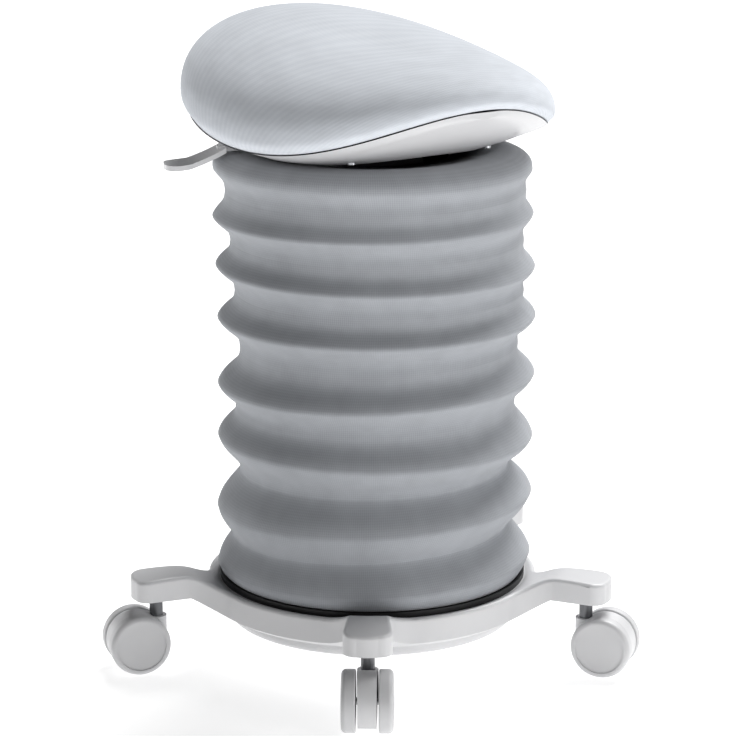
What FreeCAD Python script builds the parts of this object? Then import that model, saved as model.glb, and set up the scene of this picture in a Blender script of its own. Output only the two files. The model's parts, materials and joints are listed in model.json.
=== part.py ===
# A wobble stool: a saddle seat on a tilting gas lift, dressed in a ringed
# fabric sleeve, on a five-arm base with twin-wheel casters. Millimetres, +Z up,
# the floor at Z = 0 and the column on the Z axis.
import FreeCAD
import Part
import math
import os
import Sketcher
from FreeCAD import Placement, Rotation, Vector

doc = FreeCAD.newDocument("wobble_stool")
sheet = doc.addObject("Spreadsheet::Sheet", "Sizes")
SIZE = {}
UP = Vector(0, 0, 1)


def size(name, value):
    """Keep one size in the sheet under its own alias, and return its value."""
    row = len(SIZE) + 1
    sheet.set("A%d" % row, name)
    sheet.set("B%d" % row, "%.6f" % value)
    sheet.setAlias("B%d" % row, name)
    SIZE[name] = value
    return value


# Clearances that the pieces share
running_gap = size("running_gap", 0.05)
seat_gap = size("seat_gap", 0.02)
soft_gap = size("soft_gap", 0.3)

# Casters: standard 50 mm twin wheels on 11 mm stems
wheel_radius = size("wheel_radius", 25.0)
wheel_width = size("wheel_width", 11.4)
wheel_shoulder = size("wheel_shoulder", 4.0)
wheel_dish_depth = size("wheel_dish_depth", 0.8)
wheel_dish_radius = size("wheel_dish_radius", 20.5)
wheel_side_gap = size("wheel_side_gap", 1.6)
caster_width = size("caster_width", 41.0)
caster_trail = size("caster_trail", 17.0)
rear_caster_heading = size("rear_caster_heading", 90.0)
hood_radius = size("hood_radius", 24.0)
hood_floor_height = size("hood_floor_height", 9.0)
axle_radius = size("axle_radius", 3.0)
stem_radius = size("stem_radius", 5.5)
stem_collar_radius = size("stem_collar_radius", 7.4)
stem_collar_height = size("stem_collar_height", 1.6)
sleeve_wall = size("sleeve_wall", 1.6)

# Five-arm base
arm_count = 5
arm_angle = size("arm_angle", 72.0)
front_arm_angle = size("front_arm_angle", -91.0)
caster_circle_radius = size("caster_circle_radius", 186.0)
arm_end_radius = size("arm_end_radius", 206.5)
arm_root_half_width = size("arm_root_half_width", 17.0)
arm_tip_half_width = size("arm_tip_half_width", 19.5)
arm_tip_corner = size("arm_tip_corner", 11.0)
arm_root_radius = size("arm_root_radius", 158.0)
arm_crest_radius = size("arm_crest_radius", 170.0)
arm_crest_height = size("arm_crest_height", 80.5)
arm_end_height = size("arm_end_height", 78.0)
arm_underside_height = size("arm_underside_height", 61.5)
arm_underside_start = size("arm_underside_start", 161.0)
arm_channel_width = size("arm_channel_width", 20.0)
arm_channel_depth = size("arm_channel_depth", 9.0)
arm_edge_round = size("arm_edge_round", 3.0)
hub_radius = size("hub_radius", 137.0)
hub_deck_height = size("hub_deck_height", 66.0)
hub_deck_edge = size("hub_deck_edge", 129.0)
hub_deck_thickness = size("hub_deck_thickness", 6.0)
hub_cavity_radius = size("hub_cavity_radius", 118.0)
hub_rim_height = size("hub_rim_height", 43.0)
stem_bore_depth = size("stem_bore_depth", 14.0)
cover_height = size("cover_height", 31.0)
cover_thickness = size("cover_thickness", 3.0)
cover_lip = size("cover_lip", 3.0)
cover_round = size("cover_round", 6.0)
cover_boss_circle = size("cover_boss_circle", 96.0)
cover_boss_radius = size("cover_boss_radius", 5.5)
small_screw_radius = size("small_screw_radius", 1.9)
small_screw_length = size("small_screw_length", 14.0)
small_screw_head = size("small_screw_head", 3.8)
small_head_height = size("small_head_height", 1.8)
small_head_bore = size("small_head_bore", small_screw_head + 0.2)
cover_recess = size("cover_recess", small_head_height + 0.2)

# Wobble joint: housing, gimbal ring, rubber buffer and column socket
pivot_height = size("pivot_height", 56.0)
housing_bore = size("housing_bore", 45.5)
housing_wall = size("housing_wall", 4.0)
housing_bottom = size("housing_bottom", 44.5)
housing_flange_radius = size("housing_flange_radius", 64.0)
housing_flange = size("housing_flange", 3.0)
housing_bolt_circle = size("housing_bolt_circle", 57.0)
bolt_radius = size("bolt_radius", 3.0)
bolt_head_radius = size("bolt_head_radius", 5.0)
bolt_head_height = size("bolt_head_height", 3.5)
bolt_count = 4
gimbal_outer_radius = size("gimbal_outer_radius", 41.5)
gimbal_wall = size("gimbal_wall", 7.5)
gimbal_height = size("gimbal_height", 12.0)
pin_radius = size("pin_radius", 4.0)
socket_radius = size("socket_radius", 30.0)
socket_below_pivot = size("socket_below_pivot", 8.0)
buffer_inner_radius = size("buffer_inner_radius", 31.0)
buffer_outer_radius = size("buffer_outer_radius", 52.0)
buffer_waist = size("buffer_waist", 4.0)
buffer_height = size("buffer_height", 20.0)
socket_flange_radius = size("socket_flange_radius", 54.0)
socket_flange = size("socket_flange", 4.0)
socket_collar_height = size("socket_collar_height", 12.0)

# Gas lift: standard 50 mm stand tube and 28 mm cylinder
tube_radius = size("tube_radius", 25.0)
tube_foot_radius = size("tube_foot_radius", 24.0)
tube_wall = size("tube_wall", 1.8)
tube_floor = size("tube_floor", 6.0)
tube_top = size("tube_top", 298.0)
bush_length = size("bush_length", 60.0)
bush_flange = size("bush_flange", 3.0)
rod_radius = size("rod_radius", 5.0)
rod_foot_radius = size("rod_foot_radius", 4.0)
bearing_height = size("bearing_height", 6.0)
bearing_radius = size("bearing_radius", 15.0)
clip_thickness = size("clip_thickness", 2.0)
clip_radius = size("clip_radius", 9.0)
piston_height = size("piston_height", 200.0)
piston_thickness = size("piston_thickness", 12.0)
cylinder_radius = size("cylinder_radius", 14.0)
cylinder_wall = size("cylinder_wall", 2.0)
cylinder_bottom = size("cylinder_bottom", 168.0)
cylinder_seal = size("cylinder_seal", 10.0)
cylinder_top = size("cylinder_top", 424.0)
cylinder_taper_length = size("cylinder_taper_length", 16.0)
cylinder_taper_radius = size("cylinder_taper_radius", 13.4)
button_radius = size("button_radius", 4.0)
button_stand = size("button_stand", 5.0)
button_depth = size("button_depth", 10.0)
button_travel = size("button_travel", 2.0)

# Sleeve: eight hoops under a knitted tube, at the heights seen in the photo
hoop_apex_radius = size("hoop_apex_radius", 129.5)
hoop_heights = [81.0, 129.5, 183.7, 236.0, 287.3, 331.7, 370.8, 411.3]
valley_depths = [13.0, 14.5, 13.0, 14.0, 10.5, 9.5, 7.0]
hoop_wire_radius = size("hoop_wire_radius", 1.5)
fabric_thickness = size("fabric_thickness", 1.2)
sleeve_foot_height = size("sleeve_foot_height", 71.0)
sleeve_foot_radius = size("sleeve_foot_radius", 124.5)
sleeve_mouth_height = size("sleeve_mouth_height", 425.0)
sleeve_mouth_radius = size("sleeve_mouth_radius", 112.0)
clamp_inner_radius = size("clamp_inner_radius", 117.0)
clamp_outer_radius = size("clamp_outer_radius", 127.5)
carrier_height = size("carrier_height", 404.0)
carrier_thickness = size("carrier_thickness", 3.0)
carrier_rim_radius = size("carrier_rim_radius", 110.5)
carrier_rim_wall = size("carrier_rim_wall", 3.0)
slip_bush_wall = size("slip_bush_wall", 4.0)
slip_bush_flange_radius = size("slip_bush_flange_radius", 26.0)
slip_bush_height = size("slip_bush_height", 12.0)
collar_radius = size("collar_radius", 21.0)
collar_height = size("collar_height", 5.0)

# Saddle seat: half length, half width and the rim's rise and fall
nose_angle = size("nose_angle", -55.0)
seat_setback = size("seat_setback", 4.0)
rim_half_length = size("rim_half_length", 156.0)
rim_half_width = size("rim_half_width", 140.0)
nose_taper = size("nose_taper", 0.04)
rim_mean_height = size("rim_mean_height", 457.6)
rim_fore_tilt = size("rim_fore_tilt", -3.1)
rim_saddle_rise = size("rim_saddle_rise", 15.7)
rim_nose_rise = size("rim_nose_rise", 5.7)
crown_height = size("crown_height", 513.7)
crown_fore_slope = size("crown_fore_slope", -22.8)
crown_dish = size("crown_dish", 23.2)
cushion_bulge = size("cushion_bulge", 1.045)
shell_bottom_height = size("shell_bottom_height", 416.0)
shell_fullness = size("shell_fullness", 2.5)
shell_thickness = size("shell_thickness", 3.0)
shell_lip_depth = size("shell_lip_depth", 5.0)
shell_opening_radius = size("shell_opening_radius", 86.0)
pan_height = size("pan_height", 452.0)
pan_thickness = size("pan_thickness", 8.0)
pan_share = size("pan_share", 0.84)
pan_sag = size("pan_sag", 10.0)
shell_screw_x = size("shell_screw_x", 70.0)
shell_screw_y = size("shell_screw_y", 66.0)
pan_boss_radius = size("pan_boss_radius", 8.0)

# Seat plate and height lever, both drawn in a frame whose X runs along the lever
plate_height = size("plate_height", 440.0)
plate_gauge = size("plate_gauge", 3.0)
plate_side = size("plate_side", 104.0)
plate_bolt_circle = size("plate_bolt_circle", 58.0)
plate_bolt_length = size("plate_bolt_length", 12.0)
channel_length = size("channel_length", 76.0)
channel_width = size("channel_width", 50.0)
channel_floor_height = size("channel_floor_height", 414.0)
plate_socket_length = size("plate_socket_length", 4.0)
plate_socket_wall = size("plate_socket_wall", 4.0)
lever_angle = size("lever_angle", 188.0)
lever_pivot_reach = size("lever_pivot_reach", 32.0)
lever_pin_radius = size("lever_pin_radius", 2.5)
lever_bar_width = size("lever_bar_width", 14.0)
lever_barrel_radius = size("lever_barrel_radius", 5.0)
lever_thickness = size("lever_thickness", 4.0)
lever_tail = size("lever_tail", 6.0)
button_slack = size("button_slack", 0.4)
lever_sill_height = size("lever_sill_height", 426.4)
lever_paddle_start = size("lever_paddle_start", 122.0)
lever_paddle_width = size("lever_paddle_width", 34.0)
lever_paddle_corner = size("lever_paddle_corner", 12.0)
lever_reach = size("lever_reach", 169.0)
lever_tip_height = size("lever_tip_height", 412.5)
lever_window_width = size("lever_window_width", 24.0)
lever_window_reach = size("lever_window_reach", 114.0)
lever_window_top = size("lever_window_top", 437.0)


# Ways of drawing that the pieces share
def new_body(label):
    """An empty body whose label names its file."""
    body = doc.addObject("PartDesign::Body", label)
    body.Label = label
    return body


def origin_plane(body, role):
    """One of the body's own origin planes."""
    return [plane for plane in body.Origin.OriginFeatures if plane.Role == role][0]


def new_sketch(body, name, role="XY_Plane", height=None):
    """A sketch on an origin plane, lifted to a height that the sheet holds."""
    drawing = body.newObject("Sketcher::SketchObject", name)
    drawing.AttachmentSupport = [(origin_plane(body, role), "")]
    drawing.MapMode = "FlatFace"
    if height is not None:
        drawing.AttachmentOffset = Placement(Vector(0, 0, SIZE[height]), Rotation())
        drawing.setExpression("AttachmentOffset.Base.z", "Sizes." + height)
    return drawing


def pin_down(drawing, way, index, value):
    """Fix one coordinate of a line's start, bound to the sheet where it has a name."""
    number = SIZE[value] if isinstance(value, str) else value
    if abs(number) < 1e-9:
        axis = -2 if way == "DistanceX" else -1
        drawing.addConstraint(Sketcher.Constraint("PointOnObject", index, 1, axis))
        return
    rule = drawing.addConstraint(Sketcher.Constraint(way, -1, 1, index, 1, number))
    if isinstance(value, str):
        drawing.setExpression("Constraints[%d]" % rule, "Sizes." + value)


def draw_outline(drawing, corners):
    """A closed outline of straight lines through corners, each an alias or a number."""
    places = []
    for across, along in corners:
        x = SIZE[across] if isinstance(across, str) else across
        y = SIZE[along] if isinstance(along, str) else along
        places.append(Vector(x, y, 0))
    for index, place in enumerate(places):
        drawing.addGeometry(Part.LineSegment(place, places[(index + 1) % len(places)]))
    for index, corner in enumerate(corners):
        following = (index + 1) % len(corners)
        drawing.addConstraint(Sketcher.Constraint("Coincident", index, 2, following, 1))
        pin_down(drawing, "DistanceX", index, corner[0])
        pin_down(drawing, "DistanceY", index, corner[1])


def spin(body, drawing, kind="Revolution"):
    """Spin a sketch of the XZ plane about the Z axis, to add or to cut."""
    turn = body.newObject("PartDesign::" + kind, kind)
    turn.Profile = drawing
    turn.ReferenceAxis = (drawing, ["V_Axis"])
    turn.Angle = 360
    body.Tip = turn
    return turn


def turned(label, corners):
    """A turned piece: an outline of (radius, height) corners spun about Z."""
    body = new_body(label)
    drawing = new_sketch(body, label + "_outline", "XZ_Plane")
    draw_outline(drawing, corners)
    spin(body, drawing)
    return body


def circles(body, name, height, radius, centres):
    """A sketch of equal circles, all bound to one radius."""
    drawing = new_sketch(body, name, "XY_Plane", height)
    for index, centre in enumerate(centres):
        drawing.addGeometry(Part.Circle(centre, UP, SIZE[radius]))
        rule = drawing.addConstraint(Sketcher.Constraint("Radius", index, SIZE[radius]))
        drawing.setExpression("Constraints[%d]" % rule, "Sizes." + radius)
    return drawing


def prism(body, drawing, length, kind="Pad", upwards=True, middle=False):
    """Pad a sketch, or pocket it away, through a length that the sheet holds."""
    feature = body.newObject("PartDesign::" + kind, kind)
    feature.Profile = drawing
    feature.Length = SIZE[length]
    feature.setExpression("Length", "Sizes." + length)
    feature.Midplane = middle
    feature.Reversed = upwards if kind == "Pocket" else not upwards
    body.Tip = feature
    return feature


def ring_places(count, radius, start):
    """Places on a circle about the column, the first at the start angle."""
    places = []
    for index in range(count):
        angle = math.radians(start + 360.0 * index / count)
        places.append(Vector(radius * math.cos(angle), radius * math.sin(angle), 0))
    return places


def circle_edges(shape, radius, height):
    """The names of the circular edges of one radius at one height."""
    names = []
    for index, edge in enumerate(shape.Edges):
        curve = edge.Curve
        if hasattr(curve, "Radius") and abs(curve.Radius - radius) < 1e-3:
            if abs(edge.BoundBox.ZMin - height) < 1e-3 and abs(edge.BoundBox.ZMax - height) < 1e-3:
                names.append("Edge%d" % (index + 1))
    return names


def round_edges(body, names, radius):
    """Round the named edges of the body's tip with one radius from the sheet."""
    base = body.Tip
    rounding = body.newObject("PartDesign::Fillet", "Rounding")
    rounding.Base = (base, names)
    rounding.Radius = SIZE[radius]
    rounding.setExpression("Radius", "Sizes." + radius)
    body.Tip = rounding
    return rounding


def arc(start, through, end):
    """An arc through three (across, along) points."""
    points = [Vector(p[0], p[1], 0) for p in (start, through, end)]
    return Part.Arc(*points)


def segment(start, end):
    """A straight line between two (across, along) points."""
    return Part.LineSegment(Vector(start[0], start[1], 0), Vector(end[0], end[1], 0))


def draw_curves(drawing, curves):
    """Draw a closed chain of curves whose ends already meet."""
    for curve in curves:
        drawing.addGeometry(curve)


def grouped(label, shape_at, places):
    """Identical separate solids, one at each place, in one object."""
    group = doc.addObject("Part::Feature", label)
    group.Label = label
    group.Shape = Part.makeCompound([shape_at(place) for place in places])
    return group


# Base
arm_angles = [front_arm_angle + arm_angle * index for index in range(arm_count)]
arm_root_fillet = size("arm_root_fillet", 32.0)
cover_spigot = size("cover_spigot", 3.0)
cover_screw_count = 5
stock_bottom = size("stock_bottom", 30.0)
stock_top = size("stock_top", 95.0)
stock_reach = size("stock_reach", 225.0)
stock_height = size("stock_height", stock_top - stock_bottom)


def polar(radius, offset, angle):
    """A point along an arm, set off to its left, for an arm at an angle."""
    turn = math.radians(angle)
    x = radius * math.cos(turn) - offset * math.sin(turn)
    y = radius * math.sin(turn) + offset * math.cos(turn)
    return (x, y)


def star_outline():
    """The base in plan: arms with rounded tips, filleted into a round hub."""
    curves = []
    slack = arm_root_half_width + arm_root_fillet
    reach = hub_radius + arm_root_fillet
    fillet_at = math.sqrt(reach ** 2 - slack ** 2)
    hub_turn = math.degrees(math.atan2(slack, fillet_at))
    corner = arm_tip_corner
    half = arm_tip_half_width
    end = arm_end_radius - 1.5
    bend = corner * (1 - math.sqrt(0.5))
    for angle in arm_angles:
        for side in (-1, 1):
            hub_point = polar(hub_radius, 0, angle + side * hub_turn)
            root_point = polar(fillet_at, side * arm_root_half_width, angle)
            to_hub = Vector(-fillet_at, -slack, 0).normalize()
            halfway = (to_hub + Vector(0, -1, 0)).normalize()
            along = fillet_at + arm_root_fillet * halfway.x
            across = slack + arm_root_fillet * halfway.y
            curves.append(arc(hub_point, polar(along, side * across, angle), root_point))
            tip_point = polar(end - corner, side * half, angle)
            curves.append(segment(root_point, tip_point))
            corner_end = polar(end, side * (half - corner), angle)
            corner_middle = polar(end - bend, side * (half - bend), angle)
            curves.append(arc(tip_point, corner_middle, corner_end))
        curves.append(arc(
            polar(end, corner - half, angle),
            polar(arm_end_radius, 0, angle),
            polar(end, half - corner, angle),
        ))
        curves.append(arc(
            polar(hub_radius, 0, angle + hub_turn),
            polar(hub_radius, 0, angle + arm_angle / 2),
            polar(hub_radius, 0, angle + arm_angle - hub_turn),
        ))
    return curves


def cut_profile(body, name, curves):
    """Cut away what a profile in the XZ plane sweeps about the column."""
    drawing = new_sketch(body, name, "XZ_Plane")
    draw_curves(drawing, curves)
    spin(body, drawing, "Groove")


def outline_edges(shape):
    """The names of the edges where the outline's upright walls meet the top."""
    names = []
    for index, edge in enumerate(shape.Edges):
        tilts = []
        for face in shape.ancestorsOfType(edge, Part.Face):
            u_start, u_end, v_start, v_end = face.ParameterRange
            tilts.append(face.normalAt((u_start + u_end) / 2, (v_start + v_end) / 2).z)
        wall = any(abs(tilt) < 1e-6 for tilt in tilts)
        lid = any(tilt > 0.3 for tilt in tilts)
        if wall and lid:
            names.append("Edge%d" % (index + 1))
    return names


def make_star_base():
    """The moulded base: hub deck, five arms, screw bosses and stem bores."""
    body = new_body("star_base")
    plan = new_sketch(body, "star_plan", "XY_Plane", "stock_bottom")
    draw_curves(plan, star_outline())
    prism(body, plan, "stock_height")
    deck_edge = (hub_deck_edge, hub_deck_height)
    shoulder = (arm_crest_radius - 18, arm_crest_height - 3.5)
    brow = (arm_crest_radius - 10, arm_crest_height - 0.9)
    crest = (arm_crest_radius, arm_crest_height)
    slope = (arm_crest_radius + 21, arm_crest_height - 0.6)
    end = (arm_end_radius + 1.5, arm_end_height)
    cut_profile(body, "top_profile", [
        segment((0, hub_deck_height), deck_edge),
        segment(deck_edge, shoulder),
        arc(shoulder, brow, crest),
        arc(crest, slope, end),
        segment(end, (stock_reach, arm_end_height)),
        segment((stock_reach, arm_end_height), (stock_reach, stock_top)),
        segment((stock_reach, stock_top), (0, stock_top)),
        segment((0, stock_top), (0, hub_deck_height)),
    ])
    doc.recompute()
    round_edges(body, outline_edges(body.Tip.Shape), "arm_edge_round")
    wall_foot = (hub_radius - 7, hub_rim_height)
    arm_start = (arm_underside_start, arm_underside_height)
    cut_profile(body, "underside_profile", [
        segment((0, hub_rim_height), wall_foot),
        segment(wall_foot, arm_start),
        segment(arm_start, (stock_reach, arm_underside_height)),
        segment((stock_reach, arm_underside_height), (stock_reach, stock_bottom)),
        segment((stock_reach, stock_bottom), (0, stock_bottom)),
        segment((0, stock_bottom), (0, hub_rim_height)),
    ])
    cavity = circles(body, "cavity", "hub_rim_height", "hub_cavity_radius", [Vector()])
    prism(body, cavity, "hub_cavity_depth", "Pocket", upwards=True)
    bosses = ring_places(cover_screw_count, cover_boss_circle, front_arm_angle + arm_angle / 2)
    boss = circles(body, "cover_bosses", "cover_top", "cover_boss_radius", bosses)
    prism(body, boss, "cover_boss_height")
    holes = circles(body, "cover_screw_holes", "cover_top", "small_screw_bore", bosses)
    prism(body, holes, "small_screw_length", "Pocket", upwards=True)
    throat = circles(body, "throat", "hub_rim_height", "hub_throat_radius", [Vector()])
    prism(body, throat, "stock_height", "Pocket", upwards=True)
    bolts = ring_places(bolt_count, housing_bolt_circle, 45)
    bolt_holes = circles(body, "bolt_holes", "hub_rim_height", "bolt_bore", bolts)
    prism(body, bolt_holes, "stock_height", "Pocket", upwards=True)
    stems = ring_places(arm_count, caster_circle_radius, front_arm_angle)
    stem_holes = circles(body, "stem_holes", "arm_underside_height", "stem_sleeve_bore", stems)
    prism(body, stem_holes, "stem_bore_depth", "Pocket", upwards=True)
    channels = new_sketch(body, "arm_channels", "XY_Plane", "stock_bottom")
    half = arm_channel_width / 2
    for angle in arm_angles:
        corners = [
            polar(hub_radius + 4, -half, angle), polar(caster_circle_radius - 14, -half, angle),
            polar(caster_circle_radius - 14, half, angle), polar(hub_radius + 4, half, angle),
        ]
        for index, corner in enumerate(corners):
            channels.addGeometry(Part.LineSegment(
                Vector(corner[0], corner[1], 0),
                Vector(corners[(index + 1) % 4][0], corners[(index + 1) % 4][1], 0),
            ))
    prism(body, channels, "arm_channel_top", "Pocket", upwards=True)
    return body


hub_cavity_depth = size("hub_cavity_depth", hub_deck_height - hub_deck_thickness - hub_rim_height)
cover_top = size("cover_top", cover_height + cover_thickness)
hub_ceiling = size("hub_ceiling", hub_deck_height - hub_deck_thickness)
cover_boss_height = size("cover_boss_height", hub_ceiling - cover_top)
small_screw_bore = size("small_screw_bore", small_screw_radius + seat_gap)
housing_radius = size("housing_radius", housing_bore + housing_wall)
hub_throat_radius = size("hub_throat_radius", housing_radius + seat_gap)
bolt_bore = size("bolt_bore", bolt_radius + seat_gap)
stem_sleeve_bore_inner = size("stem_sleeve_bore_inner", stem_radius + running_gap)
stem_sleeve_radius = size("stem_sleeve_radius", stem_sleeve_bore_inner + sleeve_wall)
stem_sleeve_bore = size("stem_sleeve_bore", stem_sleeve_radius + seat_gap)
arm_channel_top = size("arm_channel_top", arm_underside_height + arm_channel_depth - stock_bottom)
star_base = make_star_base()

cover_radius = size("cover_radius", hub_cavity_radius + cover_lip)
spigot_radius = size("spigot_radius", hub_cavity_radius - 0.3)
spigot_inner = size("spigot_inner", spigot_radius - cover_thickness)
spigot_top = size("spigot_top", hub_rim_height + cover_spigot)


def make_underside_cover():
    """The round cap that closes the hub from below, with its screw holes."""
    body = turned("underside_cover", [
        (0, "cover_height"), ("cover_radius", "cover_height"), ("cover_radius", "hub_rim_height"),
        ("spigot_radius", "hub_rim_height"), ("spigot_radius", "spigot_top"),
        ("spigot_inner", "spigot_top"), ("spigot_inner", "cover_top"), (0, "cover_top"),
    ])
    doc.recompute()
    round_edges(body, circle_edges(body.Tip.Shape, cover_radius, cover_height), "cover_round")
    places = ring_places(cover_screw_count, cover_boss_circle, front_arm_angle + arm_angle / 2)
    holes = circles(body, "screw_holes", "cover_height", "small_screw_bore", places)
    prism(body, holes, "cover_thickness", "Pocket", upwards=True)
    recesses = circles(body, "screw_recesses", "cover_height", "small_head_bore", places)
    prism(body, recesses, "cover_recess", "Pocket", upwards=True)
    return body


def screw(place, head, head_height, shank, length):
    """A pan-head screw that points up, its head's top face at the place."""
    cap = Part.makeCylinder(head, head_height, place - UP * head_height)
    return cap.fuse(Part.makeCylinder(shank, length, place)).removeSplitter()


def cover_screw(place):
    """One screw of the underside cover, its head sunk in its recess."""
    seat = place + UP * (cover_height + cover_recess)
    return screw(seat, small_screw_head, small_head_height, small_screw_radius, small_screw_length)


def housing_bolt(place):
    """One bolt of the pivot housing: head on the flange, shank through the deck."""
    seat = place + UP * (hub_deck_height + housing_flange)
    bolt = Part.makeCylinder(bolt_head_radius, bolt_head_height, seat)
    shank = Part.makeCylinder(bolt_radius, housing_flange + hub_deck_thickness + 6, seat, UP * -1)
    return bolt.fuse(shank).removeSplitter()


def bolt_nut(place):
    """One nut under the hub deck."""
    seat = place + UP * (hub_ceiling - 5)
    nut = Part.makeCylinder(bolt_head_radius, 5, seat)
    return nut.cut(Part.makeCylinder(bolt_radius + seat_gap, 5, seat))


underside_cover = make_underside_cover()
cover_screws = grouped(
    "cover_screws", cover_screw,
    ring_places(cover_screw_count, cover_boss_circle, front_arm_angle + arm_angle / 2),
)
housing_bolts = grouped("housing_bolts", housing_bolt, ring_places(bolt_count, housing_bolt_circle, 45))
housing_nuts = grouped("housing_nuts", bolt_nut, ring_places(bolt_count, housing_bolt_circle, 45))

# Pivot housing, with bores for the side pins
housing_flange_top = size("housing_flange_top", hub_deck_height + housing_flange)
pin_running_bore = size("pin_running_bore", pin_radius + running_gap)
pin_press_bore = size("pin_press_bore", pin_radius + seat_gap)
gimbal_inner_radius = size("gimbal_inner_radius", gimbal_outer_radius - gimbal_wall)
gimbal_bottom = size("gimbal_bottom", pivot_height - gimbal_height / 2)
gimbal_top = size("gimbal_top", pivot_height + gimbal_height / 2)
bar_length = size("bar_length", 200.0)


def cross_bore(body, name, role, radius):
    """Bore right through along the normal of an upright plane, at the pivot's height."""
    drawing = new_sketch(body, name, role)
    drawing.addGeometry(Part.Circle(Vector(0, pivot_height, 0), UP, SIZE[radius]))
    rule = drawing.addConstraint(Sketcher.Constraint("Radius", 0, SIZE[radius]))
    drawing.setExpression("Constraints[%d]" % rule, "Sizes." + radius)
    prism(body, drawing, "bar_length", "Pocket", middle=True)


def make_pivot_housing():
    """The steel cup bolted into the hub, bored for the side pins."""
    body = turned("pivot_housing", [
        ("housing_bore", "housing_bottom"), ("housing_radius", "housing_bottom"),
        ("housing_radius", "hub_deck_height"), ("housing_flange_radius", "hub_deck_height"),
        ("housing_flange_radius", "housing_flange_top"), ("housing_bore", "housing_flange_top"),
    ])
    bolts = ring_places(bolt_count, housing_bolt_circle, 45)
    holes = circles(body, "flange_holes", "hub_deck_height", "bolt_bore", bolts)
    prism(body, holes, "housing_flange", "Pocket", upwards=True)
    cross_bore(body, "side_pin_bores", "YZ_Plane", "pin_running_bore")
    return body


def make_gimbal_ring():
    """The ring between housing and socket, bored for both pairs of pins."""
    body = turned("gimbal_ring", [
        ("gimbal_inner_radius", "gimbal_bottom"), ("gimbal_outer_radius", "gimbal_bottom"),
        ("gimbal_outer_radius", "gimbal_top"), ("gimbal_inner_radius", "gimbal_top"),
    ])
    cross_bore(body, "side_pin_bores", "YZ_Plane", "pin_press_bore")
    cross_bore(body, "fore_pin_bores", "XZ_Plane", "pin_running_bore")
    return body


def pin_pair(label, direction, inner, outer):
    """Two pins on one axis through the pivot, from an inner to an outer radius."""
    pins = doc.addObject("Part::Feature", label)
    pins.Label = label
    centre = UP * pivot_height
    pins.Shape = Part.makeCompound([
        Part.makeCylinder(pin_radius, outer - inner, centre + direction * inner, direction),
        Part.makeCylinder(pin_radius, outer - inner, centre - direction * inner, direction * -1),
    ])
    return pins


pivot_housing = make_pivot_housing()
gimbal_ring = make_gimbal_ring()
side_pivot_pins = pin_pair("side_pivot_pins", Vector(1, 0, 0), gimbal_inner_radius + 1.5, housing_radius - 0.5)
fore_pivot_pins = pin_pair("fore_pivot_pins", Vector(0, 1, 0), tube_radius + 0.6, gimbal_outer_radius - 0.5)

# Column: the socket in the gimbal, the rubber buffer under its flange, the gas lift
socket_bottom = size("socket_bottom", pivot_height - socket_below_pivot)
buffer_bottom = size("buffer_bottom", housing_flange_top + soft_gap)
buffer_top = size("buffer_top", buffer_bottom + buffer_height)
flange_bottom = size("flange_bottom", buffer_top + soft_gap)
flange_top = size("flange_top", flange_bottom + socket_flange)
socket_top = size("socket_top", flange_top + socket_collar_height)
socket_bore_foot = size("socket_bore_foot", tube_foot_radius + seat_gap)
socket_bore_top = size("socket_bore_top", tube_radius + seat_gap)
buffer_waist_radius = size("buffer_waist_radius", buffer_outer_radius - buffer_waist)
buffer_middle = size("buffer_middle", (buffer_bottom + buffer_top) / 2)
tube_bottom = size("tube_bottom", socket_bottom + 2)
tube_floor_top = size("tube_floor_top", tube_bottom + tube_floor)
tube_inner_radius = size("tube_inner_radius", tube_radius - tube_wall)
rod_bore = size("rod_bore", rod_foot_radius + seat_gap)
rod_shoulder = size("rod_shoulder", tube_floor_top + bearing_height)
clip_top = size("clip_top", tube_bottom)
clip_bottom = size("clip_bottom", clip_top - clip_thickness)
rod_bottom = size("rod_bottom", clip_bottom - 1.5)
piston_top = size("piston_top", piston_height + piston_thickness)
piston_radius = size("piston_radius", cylinder_radius - cylinder_wall - 0.1)
piston_bore = size("piston_bore", rod_radius + seat_gap)
bush_bottom = size("bush_bottom", tube_top - bush_length)
bush_flange_top = size("bush_flange_top", tube_top + bush_flange)
bush_radius = size("bush_radius", tube_inner_radius - seat_gap)
bush_bore = size("bush_bore", cylinder_radius + running_gap)

column_socket = turned("column_socket", [
    ("socket_bore_foot", "socket_bottom"), ("socket_radius", "socket_bottom"),
    ("socket_radius", "flange_bottom"), ("socket_flange_radius", "flange_bottom"),
    ("socket_flange_radius", "flange_top"), ("socket_radius", "flange_top"),
    ("socket_radius", "socket_top"), ("socket_bore_top", "socket_top"),
])
cross_bore(column_socket, "fore_pin_bores", "XZ_Plane", "pin_press_bore")

rubber_buffer = turned("rubber_buffer", [
    ("buffer_inner_radius", "buffer_bottom"), ("buffer_outer_radius", "buffer_bottom"),
    ("buffer_waist_radius", "buffer_middle"), ("buffer_outer_radius", "buffer_top"),
    ("buffer_inner_radius", "buffer_top"),
])

outer_tube = turned("outer_tube", [
    ("rod_bore", "tube_bottom"), ("tube_foot_radius", "tube_bottom"),
    ("tube_radius", "socket_top"), ("tube_radius", "tube_top"),
    ("tube_inner_radius", "tube_top"), ("tube_inner_radius", "tube_floor_top"),
    ("rod_bore", "tube_floor_top"),
])

guide_bush = turned("guide_bush", [
    ("bush_bore", "bush_bottom"), ("bush_radius", "bush_bottom"), ("bush_radius", "tube_top"),
    ("tube_radius", "tube_top"), ("tube_radius", "bush_flange_top"), ("bush_bore", "bush_flange_top"),
])

piston_rod = turned("piston_rod", [
    (0, "rod_bottom"), ("rod_foot_radius", "rod_bottom"), ("rod_foot_radius", "rod_shoulder"),
    ("rod_radius", "rod_shoulder"), ("rod_radius", "piston_top"), (0, "piston_top"),
])

thrust_bearing = turned("thrust_bearing", [
    ("rod_bore", "tube_floor_top"), ("bearing_radius", "tube_floor_top"),
    ("bearing_radius", "rod_shoulder"), ("rod_bore", "rod_shoulder"),
])

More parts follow.
